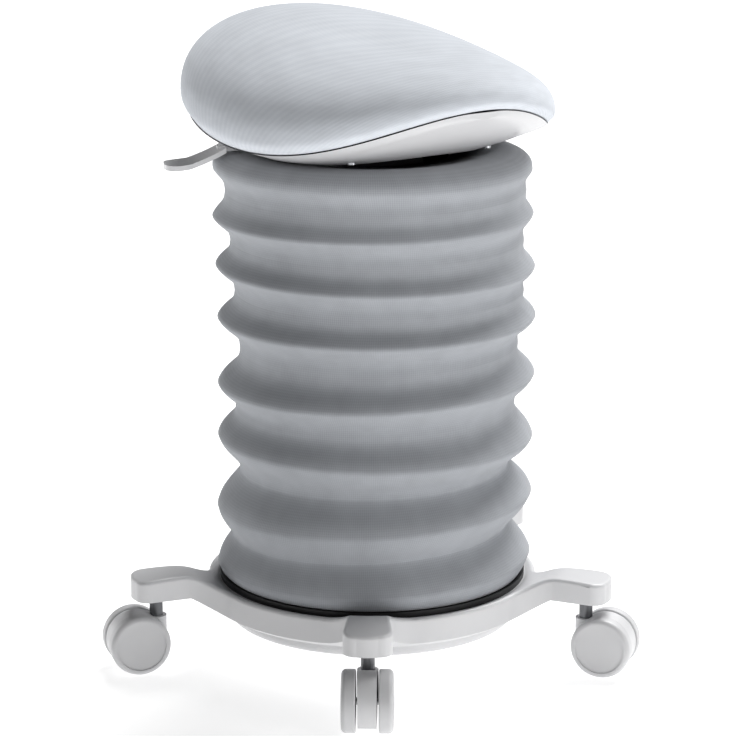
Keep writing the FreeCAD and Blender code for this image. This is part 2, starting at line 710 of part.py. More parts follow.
rod_clip = turned("rod_clip", [
    ("rod_bore", "clip_bottom"), ("clip_radius", "clip_bottom"),
    ("clip_radius", "clip_top"), ("rod_bore", "clip_top"),
])

piston = turned("piston", [
    ("piston_bore", "piston_height"), ("piston_radius", "piston_height"),
    ("piston_radius", "piston_top"), ("piston_bore", "piston_top"),
])

# Gas cylinder, its release button, and the collar under the sleeve's carrier
cylinder_inner_radius = size("cylinder_inner_radius", cylinder_radius - cylinder_wall)
seal_top = size("seal_top", cylinder_bottom + cylinder_seal)
seal_bore = size("seal_bore", rod_radius + running_gap)
taper_foot = size("taper_foot", cylinder_top - cylinder_taper_length)
button_bottom = size("button_bottom", cylinder_top - button_depth)
button_top = size("button_top", cylinder_top + button_stand)
button_bore = size("button_bore", button_radius + running_gap)
chamber_top = size("chamber_top", button_bottom - button_travel - 1)
valve_floor = size("valve_floor", chamber_top - 2)

gas_cylinder = turned("gas_cylinder", [
    ("seal_bore", "cylinder_bottom"), ("cylinder_radius", "cylinder_bottom"),
    ("cylinder_radius", "taper_foot"), ("cylinder_taper_radius", "cylinder_top"),
    ("button_bore", "cylinder_top"), ("button_bore", "chamber_top"), (0, "chamber_top"),
    (0, "valve_floor"), ("cylinder_inner_radius", "valve_floor"),
    ("cylinder_inner_radius", "seal_top"), ("seal_bore", "seal_top"),
])

release_button = turned("release_button", [
    (0, "button_bottom"), ("button_radius", "button_bottom"),
    ("button_radius", "button_top"), (0, "button_top"),
])

# Sleeve carrier: a disc that slides with the cylinder but does not turn with it
carrier_top = size("carrier_top", carrier_height + carrier_thickness)
carrier_rim_inner = size("carrier_rim_inner", carrier_rim_radius - carrier_rim_wall)
carrier_rim_top = size("carrier_rim_top", sleeve_mouth_height - soft_gap - fabric_thickness)
slip_bore = size("slip_bore", cylinder_radius + running_gap)
slip_radius = size("slip_radius", slip_bore + slip_bush_wall)
carrier_bore = size("carrier_bore", slip_radius + seat_gap)
slip_bottom = size("slip_bottom", carrier_top - slip_bush_height)
slip_top = size("slip_top", carrier_top + 2)
collar_top = size("collar_top", slip_bottom - 0.1)
collar_bottom = size("collar_bottom", collar_top - collar_height)
collar_bore = size("collar_bore", cylinder_radius + seat_gap)

sleeve_carrier = turned("sleeve_carrier", [
    ("carrier_bore", "carrier_height"), ("carrier_rim_radius", "carrier_height"),
    ("carrier_rim_radius", "carrier_rim_top"), ("carrier_rim_inner", "carrier_rim_top"),
    ("carrier_rim_inner", "carrier_top"), ("carrier_bore", "carrier_top"),
])

slip_bush = turned("slip_bush", [
    ("slip_bore", "slip_bottom"), ("slip_radius", "slip_bottom"), ("slip_radius", "carrier_top"),
    ("slip_bush_flange_radius", "carrier_top"), ("slip_bush_flange_radius", "slip_top"),
    ("slip_bore", "slip_top"),
])

lift_collar = turned("lift_collar", [
    ("collar_bore", "collar_bottom"), ("collar_radius", "collar_bottom"),
    ("collar_radius", "collar_top"), ("collar_bore", "collar_top"),
])

# Sleeve: the outline of one wall, an arc over each hoop and one into each valley
ridge_half_heights = [8.0, 16.0, 14.0, 11.0, 8.0, 6.0, 5.0, 4.0]
ridge_drop_share = size("ridge_drop_share", 0.42)
clamp_top = size("clamp_top", sleeve_foot_height - soft_gap)


def sleeve_wall_curves(inset):
    """One side of the sleeve's wall from foot to mouth, moved inwards by an inset."""
    apex = hoop_apex_radius - inset
    depths = [valley_depths[0]] + valley_depths
    curves = []
    start = (sleeve_foot_radius - inset, sleeve_foot_height)
    for index, height in enumerate(hoop_heights):
        depth = min(depths[index], depths[min(index + 1, len(depths) - 1)])
        drop = depth * ridge_drop_share
        half = ridge_half_heights[index]
        ridge_foot = (apex - drop, height - half)
        if index > 0:
            valley = (apex - depths[index], (start[1] + ridge_foot[1]) / 2)
            curves.append(arc(start, valley, ridge_foot))
            start = ridge_foot
        end = (apex - drop, height + half)
        curves.append(arc(start, (apex, height), end))
        start = end
    mouth = (sleeve_mouth_radius - inset, sleeve_mouth_height)
    shoulder = ((start[0] + mouth[0]) / 2 + 1.0, (start[1] + mouth[1]) / 2 + 1.0)
    curves.append(arc(start, shoulder, mouth))
    return curves


def make_sleeve():
    """The knitted sleeve: one tube of fabric, spun from its wall."""
    body = new_body("bellows_sleeve")
    drawing = new_sketch(body, "sleeve_wall", "XZ_Plane")
    inset = fabric_thickness
    draw_curves(drawing, sleeve_wall_curves(0))
    draw_curves(drawing, sleeve_wall_curves(inset))
    foot = (sleeve_foot_radius, sleeve_foot_height)
    mouth = (sleeve_mouth_radius, sleeve_mouth_height)
    drawing.addGeometry(segment(foot, (foot[0] - inset, foot[1])))
    drawing.addGeometry(segment(mouth, (mouth[0] - inset, mouth[1])))
    spin(body, drawing)
    return body


def hoop(height):
    """One spring-steel hoop inside a ridge of the sleeve."""
    radius = hoop_apex_radius - fabric_thickness - soft_gap - hoop_wire_radius
    return Part.makeTorus(radius, hoop_wire_radius, UP * height)


bellows_sleeve = make_sleeve()
support_hoops = grouped("support_hoops", hoop, hoop_heights)
sleeve_clamp_ring = turned("sleeve_clamp_ring", [
    ("clamp_inner_radius", "hub_deck_height"), ("clamp_outer_radius", "hub_deck_height"),
    ("clamp_outer_radius", "clamp_top"), ("clamp_inner_radius", "clamp_top"),
])


# Casters: each piece is drawn about its own axis, then set in place under its arm
stem_collar_top = size("stem_collar_top", arm_underside_height - 0.3)
stem_collar_bottom = size("stem_collar_bottom", stem_collar_top - stem_collar_height)
stem_top = size("stem_top", arm_underside_height + stem_bore_depth - 0.4)
stem_bottom = size("stem_bottom", wheel_radius - 1.5)
stem_press_bore = size("stem_press_bore", stem_radius + seat_gap)
hood_width = size("hood_width", caster_width - 2 * wheel_width - 2 * wheel_side_gap)
hood_boss_radius = size("hood_boss_radius", stem_radius + 3)
hood_boss_top = size("hood_boss_top", wheel_radius + 20)
hood_boss_bottom = size("hood_boss_bottom", stem_bottom - 3)
hood_boss_height = size("hood_boss_height", hood_boss_top - hood_boss_bottom)
hood_bore_depth = size("hood_bore_depth", hood_boss_top - stem_bottom)
axle_press_bore = size("axle_press_bore", axle_radius + seat_gap)
axle_running_bore = size("axle_running_bore", axle_radius + running_gap)
wheel_bore_depth = size("wheel_bore_depth", wheel_width - 3)
axle_length = size("axle_length", hood_width + 2 * wheel_side_gap + 2 * wheel_bore_depth - 0.6)
axle_half_length = size("axle_half_length", axle_length / 2)
wheel_face_floor = size("wheel_face_floor", wheel_width - wheel_dish_depth)
wheel_inner_edge = size("wheel_inner_edge", 1.2)


def caster_frame(angle):
    """A caster's own frame under its arm: X runs where it trails, Y along the axle."""
    stem_place = Rotation(UP, angle).multVec(Vector(caster_circle_radius, 0, 0))
    behind = math.sin(math.radians(angle)) > 0
    return Placement(stem_place, Rotation(UP, rear_caster_heading if behind else angle))


def make_caster_stem(name, angle):
    """The steel stem with the collar that carries the arm."""
    body = turned("caster_stem_" + name, [
        (0, "stem_bottom"), ("stem_radius", "stem_bottom"), ("stem_radius", "stem_collar_bottom"),
        ("stem_collar_radius", "stem_collar_bottom"), ("stem_collar_radius", "stem_collar_top"),
        ("stem_radius", "stem_collar_top"), ("stem_radius", "stem_top"), (0, "stem_top"),
    ])
    body.Placement = caster_frame(angle)
    return body


def make_caster_hood(name, angle):
    """The housing between the wheels: a hood open at the floor, with a stem boss."""
    body = new_body("caster_hood_" + name)
    side = new_sketch(body, "hood_side", "XZ_Plane")
    drop = wheel_radius - hood_floor_height
    reach = math.sqrt(hood_radius ** 2 - drop ** 2)
    centre = (caster_trail, wheel_radius)
    left = (centre[0] - reach, hood_floor_height)
    right = (centre[0] + reach, hood_floor_height)
    top = (centre[0], wheel_radius + hood_radius)
    draw_curves(side, [arc(left, top, right), segment(right, left)])
    prism(body, side, "hood_width", middle=True)
    boss = circles(body, "stem_boss", "hood_boss_bottom", "hood_boss_radius", [Vector()])
    prism(body, boss, "hood_boss_height")
    bore = circles(body, "stem_bore", "hood_boss_top", "stem_press_bore", [Vector()])
    prism(body, bore, "hood_bore_depth", "Pocket", upwards=False)
    above = circles(body, "stem_way", "hood_boss_top", "stem_press_bore", [Vector()])
    prism(body, above, "hood_radius", "Pocket", upwards=True)
    axle_hole = new_sketch(body, "axle_hole", "XZ_Plane")
    axle_hole.addGeometry(Part.Circle(Vector(centre[0], centre[1], 0), UP, axle_press_bore))
    rule = axle_hole.addConstraint(Sketcher.Constraint("Radius", 0, axle_press_bore))
    axle_hole.setExpression("Constraints[%d]" % rule, "Sizes.axle_press_bore")
    prism(body, axle_hole, "bar_length", "Pocket", middle=True)
    body.Placement = caster_frame(angle)
    return body


def axle_place(angle, across, turn):
    """A place on a caster's axle line, with Z turned along the axle."""
    local = Placement(Vector(caster_trail, across, wheel_radius), Rotation(Vector(1, 0, 0), turn))
    return caster_frame(angle).multiply(local)


def make_caster_axle(name, angle):
    """The steel axle through the hood and into both wheels."""
    axle = doc.addObject("Part::Cylinder", "caster_axle_" + name)
    axle.Label = "caster_axle_" + name
    axle.setExpression("Radius", "Sizes.axle_radius")
    axle.setExpression("Height", "Sizes.axle_length")
    axle.Placement = axle_place(angle, axle_half_length, 90)
    return axle


def make_caster_wheel(name, angle, side):
    """One moulded wheel, blind-bored from its inner face, with a round shoulder."""
    label = "caster_wheel_%s_%s" % (name, "left" if side > 0 else "right")
    body = turned(label, [
        ("axle_running_bore", 0), ("wheel_radius", 0), ("wheel_radius", "wheel_width"),
        ("wheel_dish_radius", "wheel_width"), ("wheel_dish_radius", "wheel_face_floor"),
        (0, "wheel_face_floor"), (0, "wheel_bore_depth"), ("axle_running_bore", "wheel_bore_depth"),
    ])
    doc.recompute()
    round_edges(body, circle_edges(body.Tip.Shape, wheel_radius, wheel_width), "wheel_shoulder")
    doc.recompute()
    round_edges(body, circle_edges(body.Tip.Shape, wheel_radius, 0), "wheel_inner_edge")
    inner_face = side * (hood_width / 2 + wheel_side_gap)
    body.Placement = axle_place(angle, inner_face, -90 * side)
    return body


def stem_sleeve(place):
    """One steel sleeve pressed into an arm's tip, in which a stem turns."""
    foot = place + UP * arm_underside_height
    tube = Part.makeCylinder(stem_sleeve_radius, stem_bore_depth, foot)
    return tube.cut(Part.makeCylinder(stem_sleeve_bore_inner, stem_bore_depth, foot))


stem_sleeves = grouped(
    "stem_sleeves", stem_sleeve,
    ring_places(arm_count, caster_circle_radius, front_arm_angle),
)
arm_names = ["front", "right_front", "right_rear", "left_rear", "left_front"]
for name, angle in zip(arm_names, arm_angles):
    make_caster_stem(name, angle)
    make_caster_hood(name, angle)
    make_caster_axle(name, angle)
    make_caster_wheel(name, angle, 1)
    make_caster_wheel(name, angle, -1)


# Saddle seat: drawn with X towards the nose, as sections across its length
seat_turn = Rotation(UP, nose_angle)
seat_frame = Placement(seat_turn.multVec(Vector(-seat_setback, 0, 0)), seat_turn)
lever_frame = Placement(Vector(), Rotation(UP, lever_angle))
station_turns = [6, 14, 26, 40, 56, 72, 90, 108, 124, 140, 154, 166, 174]
pan_gap = soft_gap + 0.1
pan_boss_drop = size("pan_boss_drop", 2.7)
rim_gap = size("rim_gap", pan_gap + 0.7)


def rim_height(turn):
    """The height of the seat's rim at a turn about its middle, 0 at the nose."""
    rise = rim_saddle_rise * math.cos(2 * turn) + rim_nose_rise * math.cos(3 * turn)
    return rim_mean_height + rim_fore_tilt * math.cos(turn) + rise


def rim_half_breadth(turn):
    """Half the rim's breadth at a turn, a little narrower towards the nose."""
    return rim_half_width * math.sin(turn) * (1 - nose_taper * math.cos(turn))


def rim_turn(x):
    """The turn at which the rim passes a place along the seat."""
    return math.acos(max(-0.992, min(0.992, x / rim_half_length)))


def end_height(x):
    """The rim's height at the end of the seat that a place is nearer."""
    return rim_height(0.0 if x > 0 else math.pi)


def floor_height(x, y):
    """The saddle-shaped face on which the cushion lies, above the pan."""
    turn = rim_turn(x)
    share = min(1.0, abs(x) / rim_half_length)
    spine = pan_height + pan_gap + (end_height(x) - pan_height - pan_gap) * share ** 2
    return spine - (spine - rim_height(turn)) * (y / rim_half_breadth(turn)) ** 2


def shell_height(x, y):
    """The outside of the white shell, which dips from the rim to a flat bottom."""
    along = x / rim_half_length
    turn = math.atan2(abs(y) / rim_half_width, along)
    share = math.hypot(along, y / (rim_half_width * (1 - nose_taper * math.cos(turn))))
    rim = rim_height(turn)
    return rim - (rim - shell_bottom_height) * (1 - min(1.0, share) ** shell_fullness)


def spine_height(share, x):
    """The cushion's top along its middle, at a share of the way to an end."""
    crown = crown_height + crown_fore_slope * share * (1 if x > 0 else -1)
    crown += crown_dish * share ** 2
    swell = math.sqrt(max(0.0, 1 - min(1.0, share) ** (2 * 1.43))) ** 0.82
    return end_height(x) + (crown - end_height(x)) * swell


def new_station(body, name, x):
    """A sketch across the seat at a place along it."""
    drawing = body.newObject("Sketcher::SketchObject", name)
    drawing.AttachmentSupport = [(origin_plane(body, "YZ_Plane"), "")]
    drawing.MapMode = "FlatFace"
    drawing.AttachmentOffset = Placement(Vector(0, 0, x), Rotation())
    drawing.setExpression("AttachmentOffset.Base.z", "Sizes.rim_half_length * %.6f" % (x / rim_half_length))
    return drawing


def mirrored_chain(half):
    """Arcs through (y, z) points on the right, and their mirror images on the left."""
    right = [arc(*points) for points in half]
    left = [arc(*[(-y, z) for y, z in points]) for points in half]
    return right + left


def cushion_section(turn):
    """The cushion's outline across the seat: floor, drawn-in sides and crown."""
    share = math.cos(turn)
    x = cushion_bulge * rim_half_length * share
    breadth = cushion_bulge * rim_half_breadth(turn)
    foot_turn = rim_turn(x)
    foot = min(rim_half_breadth(foot_turn), breadth * 0.985)
    foot_height = rim_height(foot_turn)
    floor = floor_height(x, 0)
    top = spine_height(abs(share), x)
    overhang = max(0.0, abs(x) / rim_half_length - 0.992) / (cushion_bulge - 0.992)
    lift = 0.3 * overhang * (crown_height - end_height(x))
    foot_height += lift
    floor += lift
    rise = top - foot_height
    bulge = (breadth, foot_height + 0.28 * rise)
    cheek = (0.94 * breadth, foot_height + 0.50 * rise)
    shoulder = (0.80 * breadth, foot_height + 0.73 * rise)
    brow = (0.58 * breadth, foot_height + 0.895 * rise)
    curves = mirrored_chain([
        ((foot, foot_height), bulge, cheek),
        (cheek, shoulder, brow),
    ])
    curves.append(arc(brow, (0, top), (-brow[0], brow[1])))
    curves.append(arc((-foot, foot_height), (0, floor), (foot, foot_height)))
    return x, curves


def pan_section(turn):
    """The pan's outline across the seat: a moulded sheet under the cushion."""
    x = pan_share * rim_half_length * math.cos(turn)
    edge = pan_share * rim_half_breadth(turn)
    side_top = (edge, floor_height(x, edge) - pan_gap)
    middle_top = floor_height(x, 0) - pan_gap
    side_foot = (edge, side_top[1] - pan_thickness)
    left_top = (-edge, side_top[1])
    left_foot = (-edge, side_foot[1])
    curves = [
        arc(side_top, (0, middle_top), left_top),
        segment(left_top, left_foot),
        arc(left_foot, (0, middle_top - pan_thickness), side_foot),
        segment(side_foot, side_top),
    ]
    return x, curves


def hull_section(turn, inset, head):
    """A section of the shell's hull, moved in by an inset and carried up by a head."""
    x = (rim_half_length - 1.5 * inset) * math.cos(turn)
    edge = rim_half_breadth(turn) * (1 - inset / rim_half_width)
    outer_turn = rim_turn(x)
    edge = min(edge, rim_half_breadth(outer_turn) - inset * 0.9) if inset else edge
    top = rim_height(outer_turn) - rim_gap
    lip = shell_lip_depth * (0.35 if inset else 1.0)
    side = (0.91 * edge, min(shell_height(x, 0.91 * edge) + inset, top - 0.5 * lip))
    bilge = (0.76 * edge, min(shell_height(x, 0.76 * edge) + inset, top - 0.8 * lip))
    keel = (0, min(shell_height(x, 0) + inset, top - lip))
    curves = mirrored_chain([((edge, top), side, bilge)])
    curves.append(arc(bilge, keel, (-bilge[0], bilge[1])))
    if head:
        curves.append(segment((edge, top), (edge, top + head)))
        curves.append(segment((-edge, top), (-edge, top + head)))
    curves.append(segment((edge, top + head), (-edge, top + head)))
    return x, curves


def loft(body, kind, name, sections):
    """Add or cut a loft through sections across the seat."""
    stations = []
    for index, (x, curves) in enumerate(sections):
        station = new_station(body, "%s_%d" % (name, index), x)
        draw_curves(station, curves)
        stations.append(station)
    feature = body.newObject("PartDesign::" + kind, name)
    feature.Profile = stations[0]
    feature.Sections = stations[1:]
    body.Tip = feature
    return feature


def in_seat_frame(places):
    """Places about the column, as the seat's own frame has them."""
    return [seat_frame.inverse().multVec(place) for place in places]


turns = [math.radians(turn) for turn in station_turns]
bolt_bore_deep = size("bolt_bore_deep", plate_bolt_length - plate_gauge)
pan_boss_height = size("pan_boss_height", pan_height - pan_boss_drop - plate_height)
plate_bolt_places = ring_places(4, plate_bolt_circle, lever_angle + 45)
shell_screw_places = [
    Vector(x, y, 0) for x in (shell_screw_x, -shell_screw_x) for y in (shell_screw_y, -shell_screw_y)
]


def shell_screw_seat(place):
    """The height of a shell screw's seat, inside the shell's wall."""
    return shell_height(place.x, place.y) + shell_thickness / 2


def make_seat_pan():
    """The moulded pan that carries the cushion, with bosses for its screws."""
    body = new_body("seat_pan")
    loft(body, "AdditiveLoft", "sheet", [pan_section(turn) for turn in turns])
    places = in_seat_frame(plate_bolt_places)
    bosses = circles(body, "plate_bosses", "plate_height", "pan_boss_radius", places)
    prism(body, bosses, "pan_boss_height")
    for index, place in enumerate(shell_screw_places):
        foot = size("shell_boss_foot_%d" % index, shell_screw_seat(place) + shell_thickness + 2.0)
        size("shell_boss_length_%d" % index, floor_height(place.x, place.y) - pan_thickness / 2 - foot)
        boss = circles(body, "boss_%d" % index, "shell_boss_foot_%d" % index, "cover_boss_radius", [place])
        prism(body, boss, "shell_boss_length_%d" % index)
        hole = circles(body, "hole_%d" % index, "shell_boss_foot_%d" % index, "small_screw_bore", [place])
        prism(body, hole, "small_screw_length", "Pocket", upwards=True)
    holes = circles(body, "bolt_holes", "plate_height", "bolt_bore", places)
    prism(body, holes, "bolt_bore_deep", "Pocket", upwards=True)
    body.Placement = seat_frame
    return body


def make_seat_shell():
    """The white outer shell: a hull with its inside, its opening and its holes cut."""
    body = new_body("seat_shell")
    loft(body, "AdditiveLoft", "hull", [hull_section(turn, 0, 0) for turn in turns])
    inside = [hull_section(turn, shell_thickness, 12) for turn in turns]
    loft(body, "SubtractiveLoft", "inside", inside)
    middle = in_seat_frame([Vector()])
    opening = circles(body, "opening", "carrier_height", "shell_opening_radius", middle)
    prism(body, opening, "stock_height", "Pocket", upwards=True)
    for index, place in enumerate(shell_screw_places):
        size("shell_seat_%d" % index, shell_screw_seat(place))
        hole = circles(body, "hole_%d" % index, "carrier_height", "small_screw_bore", [place])
        prism(body, hole, "stock_height", "Pocket", upwards=True)
        recess = circles(body, "recess_%d" % index, "shell_seat_%d" % index, "small_head_bore", [place])
        prism(body, recess, "small_head_bore", "Pocket", upwards=False)
    window = new_sketch(body, "lever_window", "XY_Plane", "carrier_height")
    half = lever_window_width / 2
    near, far = shell_opening_radius - 10, lever_window_reach
    sides = [(near, -half), (far, -half), (far, half), (near, half)]
    corners = in_seat_frame([Vector(*polar(reach, side, lever_angle), 0) for reach, side in sides])
    for index, corner in enumerate(corners):
        window.addGeometry(segment(corner, corners[(index + 1) % 4]))
    prism(body, window, "lever_window_depth", "Pocket", upwards=True)
    body.Placement = seat_frame
    return body


lever_window_depth = size("lever_window_depth", lever_window_top - carrier_height)
seat_pan = make_seat_pan()
seat_shell = make_seat_shell()
seat_cushion = new_body("seat_cushion")
loft(seat_cushion, "AdditiveLoft", "foam", [cushion_section(turn) for turn in turns])
seat_cushion.Placement = seat_frame


def shell_screw(place):
    """One screw that holds the shell to the pan."""
    seat = Vector(place.x, place.y, shell_screw_seat(place))
    pan_hold = small_screw_length - 1
    pan_screw = screw(seat, small_screw_head, small_head_height, small_screw_radius, pan_hold)
    return pan_screw.transformGeometry(seat_frame.toMatrix())


def plate_bolt(place):
    """One bolt that holds the seat plate to the pan."""
    seat = place + UP * (plate_height - plate_gauge)
    return screw(seat, bolt_head_radius, bolt_head_height, bolt_radius, plate_bolt_length - 0.5)


shell_screws = grouped("shell_screws", shell_screw, shell_screw_places)
plate_bolts = grouped("plate_bolts", plate_bolt, plate_bolt_places)

# Seat plate: a pressed plate over a channel whose floor holds the cylinder's taper
plate_bottom = size("plate_bottom", plate_height - plate_gauge)
channel_depth = size("channel_depth", plate_bottom - channel_floor_height)
plate_socket_bottom = size("plate_socket_bottom", channel_floor_height - plate_socket_length)
plate_socket_radius = size("plate_socket_radius", cylinder_radius + plate_socket_wall)
taper_bore_foot = size("taper_bore_foot", cylinder_radius + seat_gap)
taper_bore_top = size("taper_bore_top", cylinder_taper_radius + seat_gap)
lever_bottom = size("lever_bottom", button_top + button_slack)
lever_axis_height = size("lever_axis_height", lever_bottom + lever_thickness / 2)
lever_pin_length = size("lever_pin_length", channel_width)
lever_pin_press_bore = size("lever_pin_press_bore", lever_pin_radius + seat_gap)
lever_pin_bore = size("lever_pin_bore", lever_pin_radius + running_gap)


def rectangle(body, name, height, x_range, y_range):
    """A sketch of one rectangle at a height."""
    drawing = new_sketch(body, name, "XY_Plane", height)
    corners = [
        (x_range[0], y_range[0]), (x_range[1], y_range[0]),
        (x_range[1], y_range[1]), (x_range[0], y_range[1]),
    ]
    for index, corner in enumerate(corners):
        drawing.addGeometry(segment(corner, corners[(index + 1) % 4]))
    return drawing


def lever_pin_hole(body, name, bore):
    """Bore across the lever's frame for its pivot pin."""
    drawing = new_sketch(body, name, "XZ_Plane")
    drawing.addGeometry(Part.Circle(Vector(lever_pivot_reach, lever_axis_height, 0), UP, SIZE[bore]))
    rule = drawing.addConstraint(Sketcher.Constraint("Radius", 0, SIZE[bore]))
    drawing.setExpression("Constraints[%d]" % rule, "Sizes." + bore)
    prism(body, drawing, "bar_length", "Pocket", middle=True)


def make_seat_plate():
    """The pressed plate, channel and taper socket under the pan."""
    body = new_body("seat_plate")
    half = plate_side / 2
    top = rectangle(body, "top_plate", "plate_bottom", (-half, half), (-half, half))
    prism(body, top, "plate_gauge")
    reach = channel_length / 2
    side = channel_width / 2
    channel = rectangle(body, "channel", "channel_floor_height", (-reach, reach), (-side, side))
    prism(body, channel, "channel_depth")
    inner = side - plate_gauge
    hollow_floor = size("hollow_floor", channel_floor_height + plate_gauge)
    hollow = rectangle(body, "hollow", "hollow_floor", (-reach - 1, reach + 1), (-inner, inner))
    size("hollow_depth", plate_bottom - hollow_floor)
    prism(body, hollow, "hollow_depth", "Pocket", upwards=True)
    collar = circles(body, "socket_collar", "plate_socket_bottom", "plate_socket_radius", [Vector()])
    prism(body, collar, "plate_socket_length")
    foot = plate_socket_bottom - 1
    cut_profile(body, "taper_bore", [
        segment((0, foot), (taper_bore_foot, foot)),
        segment((taper_bore_foot, foot), (taper_bore_foot, taper_foot)),
        segment((taper_bore_foot, taper_foot), (taper_bore_top, cylinder_top)),
        segment((taper_bore_top, cylinder_top), (0, cylinder_top)),
        segment((0, cylinder_top), (0, foot)),
    ])
    places = ring_places(4, plate_bolt_circle, 45)
    holes = circles(body, "bolt_holes", "plate_bottom", "bolt_bore", places)
    prism(body, holes, "plate_gauge", "Pocket", upwards=True)
    lever_pin_hole(body, "pin_hole", "lever_pin_press_bore")
    body.Placement = lever_frame
    return body


def make_height_lever():
    """The height lever: a cranked bar with a wide paddle outside the seat."""
    body = new_body("height_lever")
    thick = lever_thickness
    bar = new_sketch(body, "bar_side", "XZ_Plane")
    crank_start = channel_length / 2 + 26
    crank_end = shell_opening_radius + 4
    spine = [
        (-lever_tail, lever_bottom), (crank_start, lever_bottom), (crank_end, lever_sill_height),
        (lever_paddle_start, lever_sill_height), (lever_paddle_start + 4, lever_sill_height - 0.8),
    ]
    outline = spine + [(x, z + thick) for x, z in reversed(spine)]
    for index, corner in enumerate(outline):
        bar.addGeometry(segment(corner, outline[(index + 1) % len(outline)]))
    prism(body, bar, "lever_bar_width", middle=True)
    barrel = new_sketch(body, "pivot_barrel", "XZ_Plane")
    barrel.addGeometry(Part.Circle(Vector(lever_pivot_reach, lever_axis_height, 0), UP, lever_barrel_radius))
    rule = barrel.addConstraint(Sketcher.Constraint("Radius", 0, lever_barrel_radius))
    barrel.setExpression("Constraints[%d]" % rule, "Sizes.lever_barrel_radius")
    prism(body, barrel, "lever_bar_width", middle=True)
    paddle = new_sketch(body, "paddle_side", "XZ_Plane")
    start = (lever_paddle_start - 2, lever_sill_height)
    dip = (lever_reach - 20, lever_tip_height + 1.2)
    tip = (lever_reach, lever_tip_height)
    hollow = ((start[0] + dip[0]) / 2, (start[1] + dip[1]) / 2 - 0.8)
    draw_curves(paddle, [
        arc(start, hollow, dip),
        arc(dip, ((dip[0] + tip[0]) / 2, tip[1] + 0.1), tip),
        segment(tip, (tip[0], tip[1] + thick)),
        arc((tip[0], tip[1] + thick), ((dip[0] + tip[0]) / 2, tip[1] + thick + 0.1), (dip[0], dip[1] + thick)),
        arc((dip[0], dip[1] + thick), (hollow[0], hollow[1] + thick), (start[0], start[1] + thick)),
        segment((start[0], start[1] + thick), start),
    ])
    prism(body, paddle, "lever_paddle_width", middle=True)
    lever_pin_hole(body, "pin_hole", "lever_pin_bore")
    doc.recompute()
    half = lever_paddle_width / 2
    corners = []
    for index, edge in enumerate(body.Tip.Shape.Edges):
        box = edge.BoundBox
        upright = box.XLength < 1e-3 and box.YLength < 1e-3 and box.ZLength > thick - 0.5
        if upright and abs(abs(box.YMin) - half) < 1e-3 and box.XMin > dip[0]:
            corners.append("Edge%d" % (index + 1))
    round_edges(body, corners, "lever_paddle_corner")
    body.Placement = lever_frame
    return body


seat_plate = make_seat_plate()
height_lever = make_height_lever()
lever_pin = doc.addObject("Part::Cylinder", "lever_pin")
lever_pin.Label = "lever_pin"
lever_pin.setExpression("Radius", "Sizes.lever_pin_radius")
lever_pin.setExpression("Height", "Sizes.lever_pin_length")
pin_end = Vector(lever_pivot_reach, lever_pin_length / 2, lever_axis_height)
lever_pin.Placement = lever_frame.multiply(Placement(pin_end, Rotation(Vector(1, 0, 0), 90)))


# Check every object, then write each piece to its own file
doc.recompute()
os.makedirs("parts", exist_ok=True)
for piece in doc.Objects:
    is_piece = piece.TypeId in ("PartDesign::Body", "Part::Feature", "Part::Cylinder")
    faults = [state for state in piece.State if state in ("Invalid", "Error")]
    if faults:
        raise ValueError("%s is %s" % (piece.Label, faults))
    if is_piece:
        if piece.Shape.isNull() or not piece.Shape.isValid():
            raise ValueError("%s has no sound shape" % piece.Label)
        piece.Shape.exportStep("parts/%s.step" % piece.Label)
        print("%-24s %9.1f mm3" % (piece.Label, piece.Shape.Volume))
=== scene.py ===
# %% [markdown]
# Wobble stool: the looks.
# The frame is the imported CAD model: every hidden steel part, the white base and the casters are
# in it already, in metres. This lesson adds the photograph's camera and light, gives every part
# its finish, and makes the soft and rounded pieces again, finer than the solids show them.

import json
import math

import bmesh
import bpy
from mathutils import Matrix, Vector, noise


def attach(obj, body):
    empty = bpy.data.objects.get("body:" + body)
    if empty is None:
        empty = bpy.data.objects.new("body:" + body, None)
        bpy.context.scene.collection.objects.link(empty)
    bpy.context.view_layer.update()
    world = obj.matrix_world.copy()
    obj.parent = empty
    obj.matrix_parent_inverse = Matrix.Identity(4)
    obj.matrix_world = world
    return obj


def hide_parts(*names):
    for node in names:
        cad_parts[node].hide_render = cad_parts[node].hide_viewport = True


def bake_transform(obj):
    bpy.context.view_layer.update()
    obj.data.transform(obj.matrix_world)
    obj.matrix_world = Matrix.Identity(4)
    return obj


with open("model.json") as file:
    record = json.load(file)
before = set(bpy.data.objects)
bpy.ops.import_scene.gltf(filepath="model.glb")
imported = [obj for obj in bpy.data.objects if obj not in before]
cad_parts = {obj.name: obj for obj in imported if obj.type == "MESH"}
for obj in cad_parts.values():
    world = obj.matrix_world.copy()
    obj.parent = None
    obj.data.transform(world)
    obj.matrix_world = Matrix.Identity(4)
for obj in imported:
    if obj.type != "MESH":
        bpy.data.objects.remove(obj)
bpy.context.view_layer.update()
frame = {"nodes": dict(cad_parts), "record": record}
MM = 0.001
scene = bpy.context.scene

# %% [markdown]
# Camera: the photograph looks down on the stool by 14 degrees from 2.4 m. A long lens keeps the
# upright lines almost parallel. The place was fitted to the floor contacts and the sleeve's rings.

